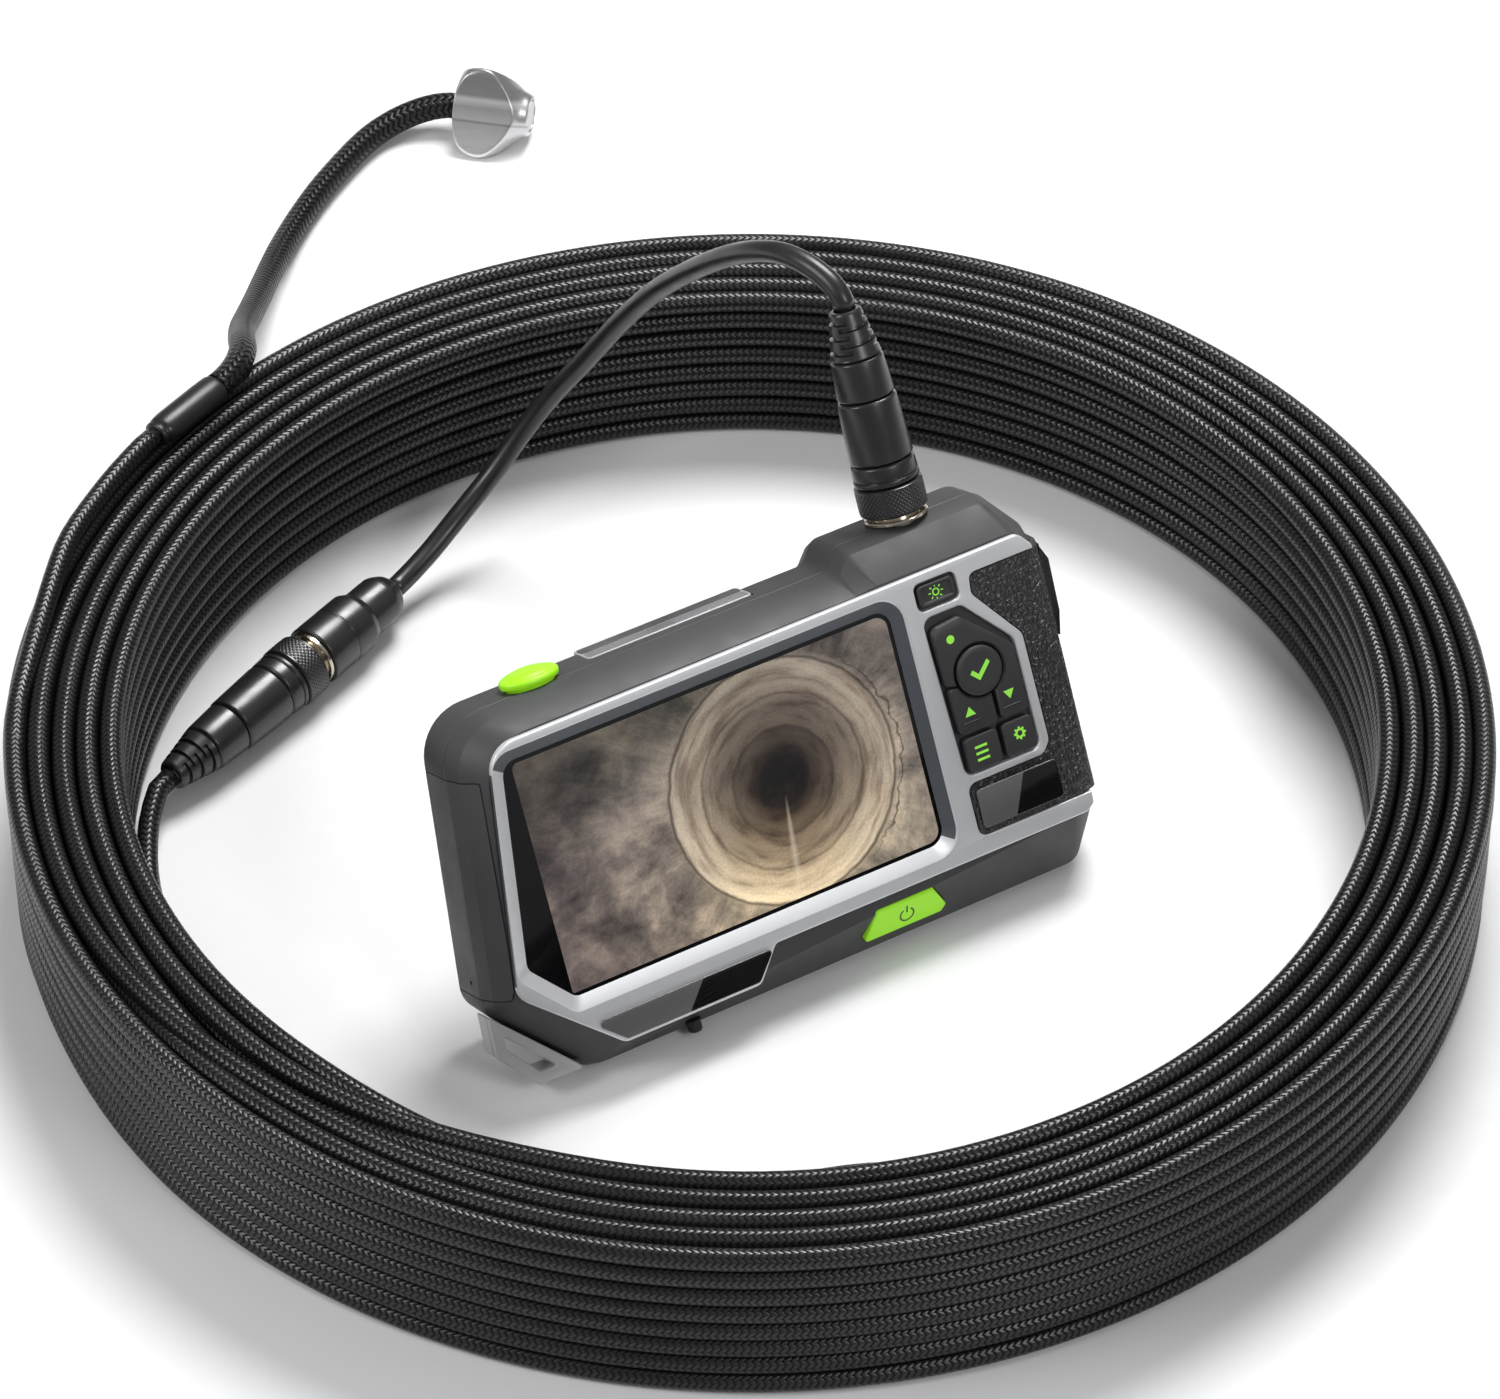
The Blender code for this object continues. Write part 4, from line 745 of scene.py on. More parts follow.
def coil_turns(start_angle, end_angle):
    """The cable's line through the coil: clockwise, column by column, from inside bottom to outside top."""
    lanes = []
    for column in range(COIL_COLUMNS):
        rows = range(COIL_ROWS) if column % 2 == 0 else reversed(range(COIL_ROWS))
        lanes += [(COIL_INNER + CABLE_D * (column + 0.5), CABLE_D * (row + 0.5)) for row in rows]
    count = len(lanes)
    sweep = 360.0 * count + (start_angle - end_angle)
    per_lane = sweep / count
    total = round(sweep / 360 * PER_TURN)
    rng = np.random.default_rng(7)
    drift = rng.uniform(-1, 1, (count, 6))
    points = []
    for step in range(total + 1):
        walked = sweep * step / total
        lane = min(int(walked / per_lane), count - 1)
        into = walked - lane * per_lane
        radius, height = lanes[lane]
        if lane + 1 < count:
            share = min(max((into - per_lane + 34.0) / 34.0, 0.0), 1.0)
            ease = share * share * (3 - 2 * share)
            radius += (lanes[lane + 1][0] - radius) * ease
            height += (lanes[lane + 1][1] - height) * ease
        angle = math.radians(start_angle - walked)
        # Each turn lies a little off its place, and comes back to it where it changes lane
        fade = math.sin(math.pi * min(into / per_lane, 1.0)) ** 0.5 if 0 < into < per_lane else 0.0
        wave = drift[lane]
        radius += 0.33 * fade * (wave[0] * math.sin(angle + 3 * wave[1])
                                 + wave[2] * math.sin(2 * angle + 3 * wave[3]))
        height += 0.16 * fade * (wave[4] * math.sin(angle + 3 * wave[5]))
        points.append((radius * math.cos(angle), radius * math.sin(angle), max(height, CABLE_D / 2)))
    return points


def vectors(points):
    return [Vector(p) for p in points]


def leaving(place, heading):
    return [place + heading * GAP, place + heading * RUN_IN]


def arriving(place, heading):
    return [place - heading * RUN_IN, place - heading * GAP]


def build_cords():
    joint_heading = unit(JOINT_HEADING)
    joint_end = JOINT_START + joint_heading * JOINT_LENGTH
    boot_end = COIL_FRAME.inverted() @ (HANDSET @ Vector((SOCKET_X, SOCKET_Y, NUT_START_Z + PLUG_LENGTH)))
    boot_heading = (HANDSET.to_3x3() @ Vector((0, 0, 1))).normalized()

    route = leaving(boot_end, boot_heading) + vectors(LEAD_ROUTE) + arriving(JOINT_START, joint_heading)
    line = relaxed(smooth_route(route, 2.0), 6)
    lead, lead_path = cord_mesh("handset_lead", line, LEAD_D / 2, 40, "lead")
    piece(lead, "lead", "lead")

    start_angle = math.degrees(math.atan2(TAIL_ROUTE[-1][1], TAIL_ROUTE[-1][0])) + 360.0 - 4.0
    end_angle = math.degrees(math.atan2(EXIT_ROUTE[0][1], EXIT_ROUTE[0][0])) + 16.0
    sleeve_heading = (SLEEVE_END - SLEEVE_START).normalized()
    tail = [joint_end + joint_heading * GAP] + vectors(TAIL_ROUTE)
    finish = vectors(EXIT_ROUTE) + arriving(SLEEVE_START, sleeve_heading)
    line = relaxed(smooth_route(tail + vectors(coil_turns(start_angle, end_angle)) + finish, 6.0), 3)
    cable, cable_path = cord_mesh("push_cable", line, CABLE_D / 2 - CABLE_SLACK, 18, "cable")
    piece(cable, "braid", "cable_tail", "cable_coil", "cable_exit")

    head_heading = unit(HEAD_HEADING)
    route = leaving(SLEEVE_END, sleeve_heading) + vectors(NECK_ROUTE) + arriving(HEAD_START, head_heading)
    line = relaxed(smooth_route(route, 2.0), 6)
    neck, neck_path = cord_mesh("gooseneck_braid", line, GOOSENECK_D / 2, 40, "neck")
    piece(neck, "braid", "gooseneck")
    return {"lead": (lead, lead_path), "cable": (cable, cable_path), "neck": (neck, neck_path)}


# ---------------------------------------------------------------------------------------------
# Connectors


def handset_at(x, y, z):
    return HANDSET @ Matrix.Translation((x, y, z))


def heading_matrix(start, direction):
    """Places something built along +z in millimetres at a point of the object's frame in millimetres."""
    ahead = Vector(direction).normalized()
    side = Vector((0, 0, 1)).cross(ahead) if abs(ahead.z) < 0.99 else Vector((1, 0, 0))
    side.normalize()
    turn = Matrix((side, ahead.cross(side), ahead)).transposed().to_4x4()
    return Matrix.Translation(Vector(start) * MM) @ turn @ Matrix.Scale(MM, 4)


def connector_nut(name, length, radius, bore, place):
    """Plain ends with a band of diamond knurling between them: two crossing families of grooves."""
    plain, rows = 0.9, 34
    depth, count, pitch = 0.34, 44, 1.45
    profile = [(bore, 0), (radius - 0.7, 0), (radius - 0.15, 0.45), (radius - 0.15, plain)]
    profile += [(radius, plain + (length - 2 * plain) * row / rows) for row in range(rows + 1)]
    profile += [(radius - 0.15, length - plain), (radius - 0.15, length - 0.45), (radius - 0.7, length),
                (bore, length)]

    def ripple(turn, z, reach):
        if reach != radius:
            return 0.0
        a, b = (abs(((turn * count / (2 * math.pi) + way * z / pitch) % 1) - 0.5) * 2 for way in (1, -1))
        return -depth * (1 - min(a, b) ** 0.8)
    return turned(name, profile, "connector", place, 264, ripple=ripple, angle=50.0)


# Each piece of a plug: its length, and its radius at the start and at the end
PLUG_SIZES = {
    "nut": (8.9, 10.0, 10.0), "collar": (6.8, 9.6, 9.2), "body": (18.7, 9.3, 8.6), "barrel": (12.0, 8.3, 7.6),
    "boot": (14.0, 7.4, 4.6),
}


def build_plug(prefix, place):
    """The nut, collar, body, barrel and boot, along the place's own z."""
    made = []
    z = 0.0
    for name, (length, r0, r1) in PLUG_SIZES.items():
        at = place @ Matrix.Translation((0, 0, z))
        long = length - GAP
        if name == "nut":
            obj = connector_nut(f"{prefix}_ring", long, r0, 7.4, at)
        elif name == "boot":
            obj = build_boot(f"{prefix}_relief", long, r0, r1, at)
        else:
            profile = [(0, 0), (r0 - 0.5, 0), (r0, 0.5)]
            if name == "collar":
                profile += [(r0 - 0.1, 1.7), (r0 - 0.55, 1.8), (r0 - 0.55, 2.2), (r0 - 0.1, 2.3)]
            profile += [(r0 + (r1 - r0) * 0.75, long * 0.75), (r1, long - 0.6), (r1 - 0.6, long), (0, long)]
            obj = turned(f"{prefix}_{name}_shell", rounded_profile(profile, 0.3, 3), "connector", at)
        rides = f"{prefix}_nut" if name == "nut" else "handset_body"
        piece(obj, "connector", f"{prefix}_{name}", body=rides)
        made.append(obj)
        z += length
    return made


def build_boot(name, length, r0, r1, place):
    """The strain relief: a cone with short slots in two alternating columns and a collar-like end."""
    rows = 56
    base = [(0, 0), (r0 - 0.3, 0), (r0, 0.3)]
    tip = [(r1 + 0.05, length - 0.5), (r1 - 0.4, length), (3.3, length), (3.2, length - 1.6),
           (0, length - 1.6)]
    side = [(r0 + (r1 - r0) * t, length * t) for t in (np.arange(rows + 1) / rows * 0.9 + 0.04)]

    def ripple(turn, z, reach):
        if not 0.05 < z / length < 0.93 or reach < 4.0:
            return 0.0
        for level in range(5):
            middle = length * (0.18 + 0.155 * level)
            shift = 0.0 if level % 2 == 0 else math.pi / 2
            beside = abs(((turn - shift + math.pi / 2) % math.pi) - math.pi / 2)
            if abs(z - middle) < 0.55 and beside < 1.02:
                return -1.0
        return 0.0
    return turned(name, base + side + tip, "connector", place, ripple=ripple, angle=28.0)


def threads(z0, z1, radius=7.0, pitch=0.75):
    """A (radius, z) profile of thread crests."""
    crest = ((0.0, 0.1), (0.0, 0.4), (0.45, 0.6), (0.45, 0.9))
    starts = [z0 + index * pitch for index in range(int((z1 - z0) / pitch))]
    return [(radius - depth, z + share * pitch) for z in starts for depth, share in crest]


def build_connectors():
    plug = build_plug("plug", handset_at(SOCKET_X, SOCKET_Y, NUT_START_Z))
    profile = [(0, 100.0), (6.6, 100.0), (6.6, SHOULDER_Z + 0.3), (9.1, SHOULDER_Z + 0.3),
               (9.4, SHOULDER_Z + 0.6),
               (9.4, SHOULDER_Z + 1.2), (9.1, SHOULDER_Z + 1.5), (7.0, SHOULDER_Z + 1.5)]
    profile += threads(SHOULDER_Z + 1.6, NUT_START_Z + 7.6)
    profile += [(6.4, NUT_START_Z + 8.0), (0, NUT_START_Z + 8.0)]
    socket = turned("threaded_socket", profile, "nickel", handset_at(SOCKET_X, SOCKET_Y, 0), 72)
    piece(socket, "nickel", "panel_socket")

    start = JOINT_START + COIL_AT
    place = heading_matrix(start, unit(JOINT_HEADING))
    joint = build_plug("joint", place @ Matrix.Translation((0, 0, 41.0)))
    cone = [(0, 0), (3.6, 0), (4.2, 0.4), (6.2, 2.4), (7.5, 5.2), (7.75, 6.4), (7.8, 15.6), (0, 15.6)]
    shell = [(0, 15.9), (8.2, 15.9), (8.4, 16.2), (9.3, 18.0), (9.4, 18.6), (9.45, 26.0), (9.2, 26.2),
             (9.2, 26.7), (9.45, 26.9), (9.5, 36.6), (9.1, 37.1), (0, 37.1)]
    thread = [(0, 37.4), (8.4, 37.4), (8.6, 37.6), (8.6, 38.4), (8.4, 38.6), (7.0, 38.6)]
    thread += threads(38.7, 48.2) + [(6.4, 48.6), (0, 48.6)]
    for name, mat, profile in (("cone", "connector", rounded_profile(cone, 0.25, 3)),
                               ("socket", "connector", rounded_profile(shell, 0.25, 3)),
                               ("thread", "nickel", thread)):
        obj = turned(f"joint_{name}_shell", profile, mat, place)
        piece(obj, mat, f"joint_{name}")
        joint.append(obj)
    return plug, joint


# ---------------------------------------------------------------------------------------------
# Sleeve and head


def build_sleeve():
    start = SLEEVE_START + COIL_AT
    length = (SLEEVE_END - SLEEVE_START).length
    profile = [(0, 0), (3.8, 0), (4.2, 0.4), (4.4, 1.1), (4.0, 1.5), (4.0, 1.9), (4.5, 2.3), (4.8, 3.6),
               (5.0, 5.6), (5.05, 8.0),
               (5.05, length - 7.0), (5.0, length - 4.0), (4.9, length - 1.4), (4.6, length - 0.4),
               (4.3, length), (0, length)]
    obj = turned("cable_sleeve", profile, "sleeve", heading_matrix(start, SLEEVE_END - SLEEVE_START), 72,
                 0.85, 60.0)
    piece(obj, "lead", "sleeve")
    return obj


def build_head():
    """The skid: a round bulge along its own z, cut by three flat pads, with the barrel's bore in front."""
    place = heading_matrix(HEAD_START + COIL_AT, unit(HEAD_HEADING))
    segments = 180
    outline = [(0.0, 6.2, 0), (0.4, 8.4, 0), (1.6, 12.0, 0), (3.6, 14.8, 0), (6.4, 16.3, 0),
               (9.4, 16.8, 0), (12.2, 16.2, 0),
               (15.0, 14.4, 0), (17.8, 11.8, 0), (20.2, 9.3, 0), (22.2, 7.8, 0), (24.2, 6.9, 0)]
    end = [(HEAD_LENGTH - 0.2, 6.6), (HEAD_LENGTH, 6.2), (HEAD_LENGTH, 5.4), (HEAD_LENGTH - 0.3, 5.25),
           (HEAD_LENGTH - 3.0, 5.2), (4.0, 5.2)]
    rings = [(z, radius) for z, radius, _ in smooth_route(outline, 0.4)] + end
    bm = bmesh.new()
    loops = []
    for z, radius in rings:
        ring = []
        for index in range(segments):
            turn = 2 * math.pi * index / segments
            from_pad = (turn + math.radians(150)) % math.radians(120) - math.radians(60)
            pad = PAD_REACH / math.cos(from_pad)
            # A soft minimum of the bulge and the pad breaks the edge between them
            reach = (radius ** -60 + pad ** -60) ** (-1 / 60)
            ring.append((reach * math.cos(turn), reach * math.sin(turn), z))
        loops.append(ring)
    skin(bm, loops)
    skid = to_object("steel_skid", bm, "steel", place, 60.0)
    # The second coordinate runs across the head, and the painted reflection bands lie along it.
    map_from(skid, place, lambda p: (p.z, p.x + p.y * 1.7))
    piece(skid, "steel", "head_skid")
    return skid


# ---------------------------------------------------------------------------------------------
# Handset


CASE_OUTLINE = [
    (-73.4, 0.0, 8.0), (-98.2, 26.5, 8.0), (-88.4, 109.5, 15.0), (35.6, 109.5, 4.0), (40.0, 115.5, 4.0),
    (86.5, 115.5, 6.0), (98.4, 101.0, 6.0), (98.4, 15.0, 5.0), (88.0, 0.0, 6.0),
]
RIDGE_SHIFT = [(0.8, 1.8), (1.4, 0.8), (1.2, -1.6), (0.4, -1.6), (0.6, -1.9), (-0.8, -1.9), (-2.0, -0.8),
               (-2.0, 1.2), (-0.6, 1.8)]
FRONT_SHIFT = [(8.4, 8.2), (5.0, 6.6), (6.4, -5.4), (1.0, -5.2), (3.6, -10.6), (3.0, -10.6), (-5.6, -4.0),
               (-5.6, 5.0), (-1.0, 18.0)]
REAR_SHIFT = [(2.6, 0.0), (3.6, 1.0), (3.2, -3.4), (1.0, -3.4), (1.6, -3.6), (-1.6, -3.6), (-3.6, -1.6),
              (-3.6, 2.0), (-2.6, 0.0)]
BEZEL_OUTLINE = [
    (-65.2, 8.4, 4.0), (-92.6, 32.6, 6.0), (-81.7, 103.6, 9.0), (89.0, 104.4, 4.0), (92.6, 100.0, 2.0),
    (92.6, 20.0, 2.0), (90.0, 18.2, 1.5), (-14.0, 18.2, 2.0), (-21.4, 8.4, 3.0),
]
GLASS_OUTLINE = [(-75.5, 26.0, 4.0), (-87.4, 39.0, 4.0), (-78.8, 97.8, 5.0), (45.0, 97.8, 5.0),
                 (45.0, 26.0, 5.0)]
SCREEN_OPENING = [(-77.0, 22.4, 5.0), (-91.2, 37.8, 5.0), (-82.3, 101.3, 7.0), (48.8, 101.3, 8.0),
                  (48.8, 22.4, 8.0)]
PICTURE = [(-76.0, 27.3, 0.6), (-76.0, 96.3, 2.0), (43.7, 96.3, 3.6), (43.7, 27.3, 3.6)]
LIGHT_WELL = oblong(53.4, 67.0, 93.2, 101.5, 2.0)
KEY_WELL = [(55.4, 42.2, 3.0), (53.8, 91.0, 3.0), (66.6, 91.0, 3.0), (80.0, 76.0, 4.0), (80.2, 42.2, 3.0)]
GRIP_PANEL = [
    (55.3, 24.0, 2.5), (55.3, 39.6, 2.5), (80.8, 39.6, 2.5), (83.6, 43.0, 2.5), (83.4, 76.4, 4.0),
    (70.8, 93.0, 3.0),
    (71.4, 98.6, 2.0), (110.0, 98.6, 0.5), (110.0, 24.0, 0.5),
]
SCREW_PLACES = [(-70.0, 101.2), (78.0, 104.4), (-68.0, 20.8), (64.0, 20.4)]
OK_CENTRE, OK_RADIUS = (66.6, 71.3), 7.3
PIPE_MIDDLE = (1.2, 61.8)


def on_slope(corners, depth):
    rise = max(depth - PARTING, 0.0) * math.tan(LEAN)
    return [(x, z + rise * (index in (0, len(corners) - 1)), r) for index, (x, z, r) in enumerate(corners)]


def case_sections(first, last):
    """Outer skin sections of the whole case between two depths."""
    known = [
        (FRONT, shifted(CASE_OUTLINE, FRONT_SHIFT)),
        (RIDGE, shifted(CASE_OUTLINE, RIDGE_SHIFT)),
        (PARTING, CASE_OUTLINE),
        (REAR_EDGE, on_slope(CASE_OUTLINE, REAR_EDGE)),
        (BACK, on_slope(shifted(CASE_OUTLINE, REAR_SHIFT), BACK)),
    ]
    sections = []
    for depth in sorted({first, last} | {d for d, _ in known if first < d < last}):
        for (low, a), (high, b) in zip(known, known[1:]):
            if low <= depth <= high:
                part = (depth - low) / (high - low)
                corners = [tuple(u + (v - u) * part for u, v in zip(p, q)) for p, q in zip(a, b)]
                sections.append((depth, corners))
                break
    return sections


def grip_profile(clearance):
    outer = [(55.3, 0.1), (90.4, 0.1), (95.2, 2.4), (97.6, 8.0), (98.4, 16.0), (98.4, 30.0), (95.6, 39.4),
             (72.0, 39.4)]
    inner = [(72.0, 38.3), (94.6, 38.3), (96.0, 30.0), (96.0, 16.4), (95.4, 8.8), (93.6, 4.0), (90.0, 1.8),
             (55.3, 1.8)]
    if not clearance:
        return outer + inner
    far = [(40.0, -6.0), (120.0, -6.0), (120.0, 50.0), (60.0, 50.0), (60.0, 38.0)]
    return far + [(71.6, 38.0), (94.3, 38.0), (95.7, 30.0), (95.7, 16.4), (95.1, 9.0), (93.2, 4.3),
                  (90.0, 2.1), (40.0, 2.1)]


def prism_z(name, profile, z0, z1, mat=None):
    bm = bmesh.new()
    skin(bm, [[(x, y, z) for x, y in profile] for z in (z0, z1)])
    return to_object(name, bm, mat, HANDSET)


def block(name, low, high):
    return prism_z(name, [(low[0], low[1]), (high[0], low[1]), (high[0], high[1]), (low[0], high[1])],
                   low[2], high[2])


def bumper_region(clearance):
    def corners(reach):
        edge = reach + clearance
        return [(-120.0, 27.0 - clearance, 0.5), (-120.0, 98.4 + clearance, 0.5),
                (-89.6 + edge, 93.6 + clearance, 0.5), (-97.4 + edge, 31.4 - clearance, 0.5)]
    return [(FRONT - 1, corners(4.6)), (5.0, corners(4.2)), (9.0, corners(2.4)),
            (32.0 + clearance, corners(2.4))]


def across(x, z, way=-1):
    """Places something built along +z so that it points into the case, or out of its face (way 1)."""
    return handset_at(x, 0, z) @ Matrix.Rotation(way * math.pi / 2, 4, "X")


def power_place():
    low, high = Vector((28.3, 9.6, 2.5)), Vector((28.3, 2.1, 17.4))
    along = (high - low).normalized()
    basis = Matrix((Vector((1, 0, 0)), Vector((0, along.z, -along.y)), along)).transposed().to_4x4()
    return handset_at(*(low + along * 8.6)) @ basis


SHUTTER_AT = (-56.7, 21.5, 109.5)


def shutter_place():
    return handset_at(*SHUTTER_AT) @ Matrix.Diagonal((1.0, 0.72, 1.0, 1.0))


def case_part(name, first, last, mat):
    """The case between two depths, with its edges broken."""
    return settle(bevel(loft(name, case_sections(first, last), mat, steps=10), 0.55, 3, 12.0))


def build_casing():
    grip_cut = prism_z("tool_grip", grip_profile(GAP), 24.0 - GAP, 98.6 + GAP)
    bumper_cut = loft("tool_bumper", bumper_region(GAP), steps=2)
    shutter_hole = rod("tool_shutter", 7.7, -9, 6, shutter_place(), 48)
    power_hole = loft("tool_power", [(-4.0, inset(POWER_SHAPE, -0.35)), (2.6, inset(POWER_SHAPE, -0.35))],
                      None, power_place())
    foot_hole = rod("tool_foot", 2.4, -9, 3.5, handset_at(-40.6, 9.4, 0), 24)

    front = case_part("front_casing", FRONT, PARTING + 1.0, "case")
    cut(front, grip_cut, bumper_cut, shutter_hole, power_hole, foot_hole)
    piece(front, "case", "front_shell")

    rear = case_part("rear_casing", PARTING + 1.0 + GAP, BACK, "case")
    tools = [block("tool_stand", (-30.6, 32.8, 12.6), (30.6, 44.0, 82.0)),
             block("tool_port_pocket", (-38.3, 21.5, 108.0), (15.3, 32.9, 116.0)),
             block("tool_port_shaft", (-35.0, 23.6, 98.5), (12.0, 30.8, 112.0)),
             rod("tool_tripod", 4.9, 20, 45, across(0, 97.0), 48)]
    tools += [turned(f"tool_screw_{n}", [(0, 34), (1.7, 34), (1.7, 35.7), (2.9, 35.7), (2.9, 45), (0, 45)],
                     None, across(x, z), 32)
              for n, (x, z) in enumerate(SCREW_PLACES)]
    # Shallow grooves cut in the back, either side of the stand, give fingers a hold
    ribs = []
    for side in (-1, 1):
        for row in range(5):
            x, z = side * 58.0, 38.0 + 9.0 * row
            corners = oblong(x - 11, x + 11, z - 1.3, z + 1.3, 1.2)
            ribs.append(loft(f"tool_rib_{side}_{row}", [(37.2, corners), (39.0, corners)], steps=5))
    cut(rear, grip_cut, bumper_cut, shutter_hole, *tools, *ribs)
    piece(rear, "case", "rear_shell")

    bumper = case_part("left_bumper", FRONT + 0.1, REAR_EDGE, "guard")
    region = loft("tool_bumper_keep", bumper_region(0.0), steps=2)
    mic = rod("tool_mic", 0.7, -110, -96.2,
              handset_at(0, 21.0, 34.5) @ Matrix.Rotation(math.pi / 2, 4, "Y"), 20)
    cut(bumper, region, operation="INTERSECT")
    cut(bumper, mic)
    piece(bumper, "guard", "side_bumper")


def flared(name, corners, edge, depth=4.0):
    """A cutter whose mouth is rounded."""
    mouth = [(edge * b, inset(corners, -edge * a)) for a, b in quarter(4)]
    return loft(name, [(-0.6, inset(corners, -edge * 1.6))] + mouth + [(depth, corners)])


def paint_slope_shade(bezel):
    """Painted shade: the faces of the slopes down to the glass at the top and on the right, which face down
    or left, get the darker slate material.
    """
    back = HANDSET.inverted()
    turn = back.to_3x3().normalized()
    bezel.data.materials.append(MATS["slate"])
    (left, *_), (right, *_) = SCREEN_OPENING[1], SCREEN_OPENING[3]
    low, high = SCREEN_OPENING[0][1], SCREEN_OPENING[2][1]
    for face in bezel.data.polygons:
        at, out = back @ face.center, turn @ face.normal
        inside = left < at.x < right + 0.2 and low < at.z < high + 0.2 and 0.3 < at.y < 2.2
        if inside and (out.z < -0.15 or out.x < -0.15) and out.z < 0.2:
            face.material_index = 1


def build_bezel():
    bezel = rounded_plate("silver_bezel", BEZEL_OUTLINE, 0.0, 1.8, "silver", 0.5)
    mouth = [(-0.6, -0.7), (0.0, -0.25), (0.12, -0.06), (0.35, 0.3)]
    screen = loft("tool_screen", [(depth, inset(SCREEN_OPENING, amount)) for depth, amount in mouth]
                  + [(1.75, inset(GLASS_OUTLINE, 0.15)), (2.6, inset(GLASS_OUTLINE, 0.2))])
    panel = flared("tool_panel", inset(GRIP_PANEL, -GAP), 0.25)
    cut(bezel, screen, flared("tool_keys", KEY_WELL, 0.55), flared("tool_light", LIGHT_WELL, 0.5), panel)
    paint_slope_shade(bezel)
    piece(bezel, "silver", "bezel")

    glass = rounded_plate("cover_glass", inset(GLASS_OUTLINE, -1.2), 1.95, 3.2, "border", 0.1)
    piece(glass, "glass", "screen_glass")
    picture = loft("picture", [(1.98, PICTURE), (1.90, PICTURE), (1.88, inset(PICTURE, 0.1))], "picture")
    map_from(picture, HANDSET, lambda p: (p.x - PIPE_MIDDLE[0], p.z - PIPE_MIDDLE[1]))
    piece(picture, "glass")

    front = [(-64.6, 9.5, 1.2), (-73.8, 17.6, 1.5), (-15.2, 17.6, 1.0), (-21.9, 9.5, 1.6)]
    dark = [(-44.6, 9.65, 0.1), (-38.4, 17.45, 0.1), (-15.5, 17.45, 1.0), (-22.0, 9.65, 1.6)]
    build_badge("front_badge", front, dark, -0.3, -0.75)
    side = oblong(56.9, 83.6, 25.9, 37.6, 1.3)
    dark = [(67.6, 26.05, 0.1), (72.6, 37.45, 0.1), (83.45, 37.45, 1.2), (83.45, 26.05, 1.2)]
    build_badge("side_badge", side, dark, -0.2, -0.75)


def build_badge(node, corners, dark, back, front):
    plate = rounded_plate(f"{node}_plate", corners, front, back, "badge_grey", 0.18)
    piece(plate, "badge", node)
    panel = rounded_plate(f"{node}_panel", dark, front - 0.04, front + 0.1, "badge_black", 0.04)
    piece(panel, "badge")


def build_grip():
    profile = rounded_profile(grip_profile(0.0), 1.6, 6)
    grip = prism_z("leather_grip", profile, 24.0, 98.6, "leather")
    panel = loft("tool_grip_front", [(-3.0, GRIP_PANEL), (3.0, GRIP_PANEL)])
    keep = block("tool_grip_back", (60.0, 2.2, 20.0), (110.0, 44.0, 101.0))
    cut(panel, keep, operation="UNION")
    cut(grip, panel, operation="INTERSECT")
    piece(grip, "leather", "grip")

    bm = bmesh.new()
    rings = []
    for z, top, y0, y1 in ((69.5, 97.4, 4.4, 27.0), (74.5, 101.2, 7.0, 24.5),
                           (90.5, 101.6, 7.0, 25.0), (97.8, 97.4, 4.4, 28.0)):
        rings.append([(96.9, y0, z), (top, y0 + 3.2, z), (top, y1 - 3.2, z), (96.9, y1, z)])
    skin(bm, rings)
    rest = to_object("thumb_rest", bm, "facet", HANDSET)
    settle(bevel(rest, 0.9, 4, 20.0))
    piece(rest, "leather")


def key_sections(corners, top_drop):
    """A key cap's sections from its back to a rounded front; top_drop slopes its upper end."""
    def dropped(shape, amount):
        if not top_drop:
            return shape
        high = max(z for _, z, _ in shape)
        return [(x, z - amount * (z > high - 6.0), r) for x, z, r in shape]
    sections = [(KEY_BACK, corners), (KEY_FRONT + KEY_EDGE + 0.5 * bool(top_drop), corners)]
    for step, (a, b) in enumerate(quarter(5, 1), 1):
        shape = dropped(inset(corners, KEY_EDGE * b), top_drop * step / 5)
        sections.append((KEY_FRONT + KEY_EDGE * a, shape))
    return sections


KEY_SHAPES = {
    "rocker_key": [(55.5, 70.2, 1.0), (54.9, 87.6, 2.5), (64.6, 88.6, 2.5), (78.9, 75.0, 3.6),
                   (79.1, 55.0, 1.6), (69.9, 55.0, 1.6), (69.8, 66.0, 1.0)],
    "up_key": [(56.3, 54.8, 1.6), (55.8, 69.2, 1.0), (68.7, 66.6, 0.6), (68.8, 54.8, 1.6)],
    "menu_key": oblong(56.6, 67.6, 43.3, 53.4, 1.6),
    "settings_key": oblong(68.9, 79.1, 43.3, 53.4, 1.6),
}
KEY_FRONT, KEY_BACK, KEY_EDGE = -1.4, 1.1, 0.55


def arc(cx, cz, radius, start, end, steps):
    turns = [math.radians(start + (end - start) * n / steps) for n in range(steps + 1)]
    return [(cx + radius * math.cos(turn), cz + radius * math.sin(turn)) for turn in turns]


def band(cx, cz, inner, outer, start=90.5, end=449.5, steps=40):
    return arc(cx, cz, outer, start, end, steps) + list(reversed(arc(cx, cz, inner, start, end, steps)))


def stroke(a, b, width):
    a, b = Vector(a), Vector(b)
    ahead = (b - a).normalized()
    side = Vector((-ahead.y, ahead.x)) * width / 2
    return [tuple(p) for p in (a + side, b + side, b - side, a - side)]


def icon(name, body, outlines, mat="icon", place=HANDSET, front=KEY_FRONT, thick=0.06):
    bm = bmesh.new()
    for outline in outlines:
        skin(bm, [[(x, depth, z) for x, z in outline] for depth in (front + 0.03, front - thick)])
    piece(to_object(name, bm, mat, place), "lime", body=body)


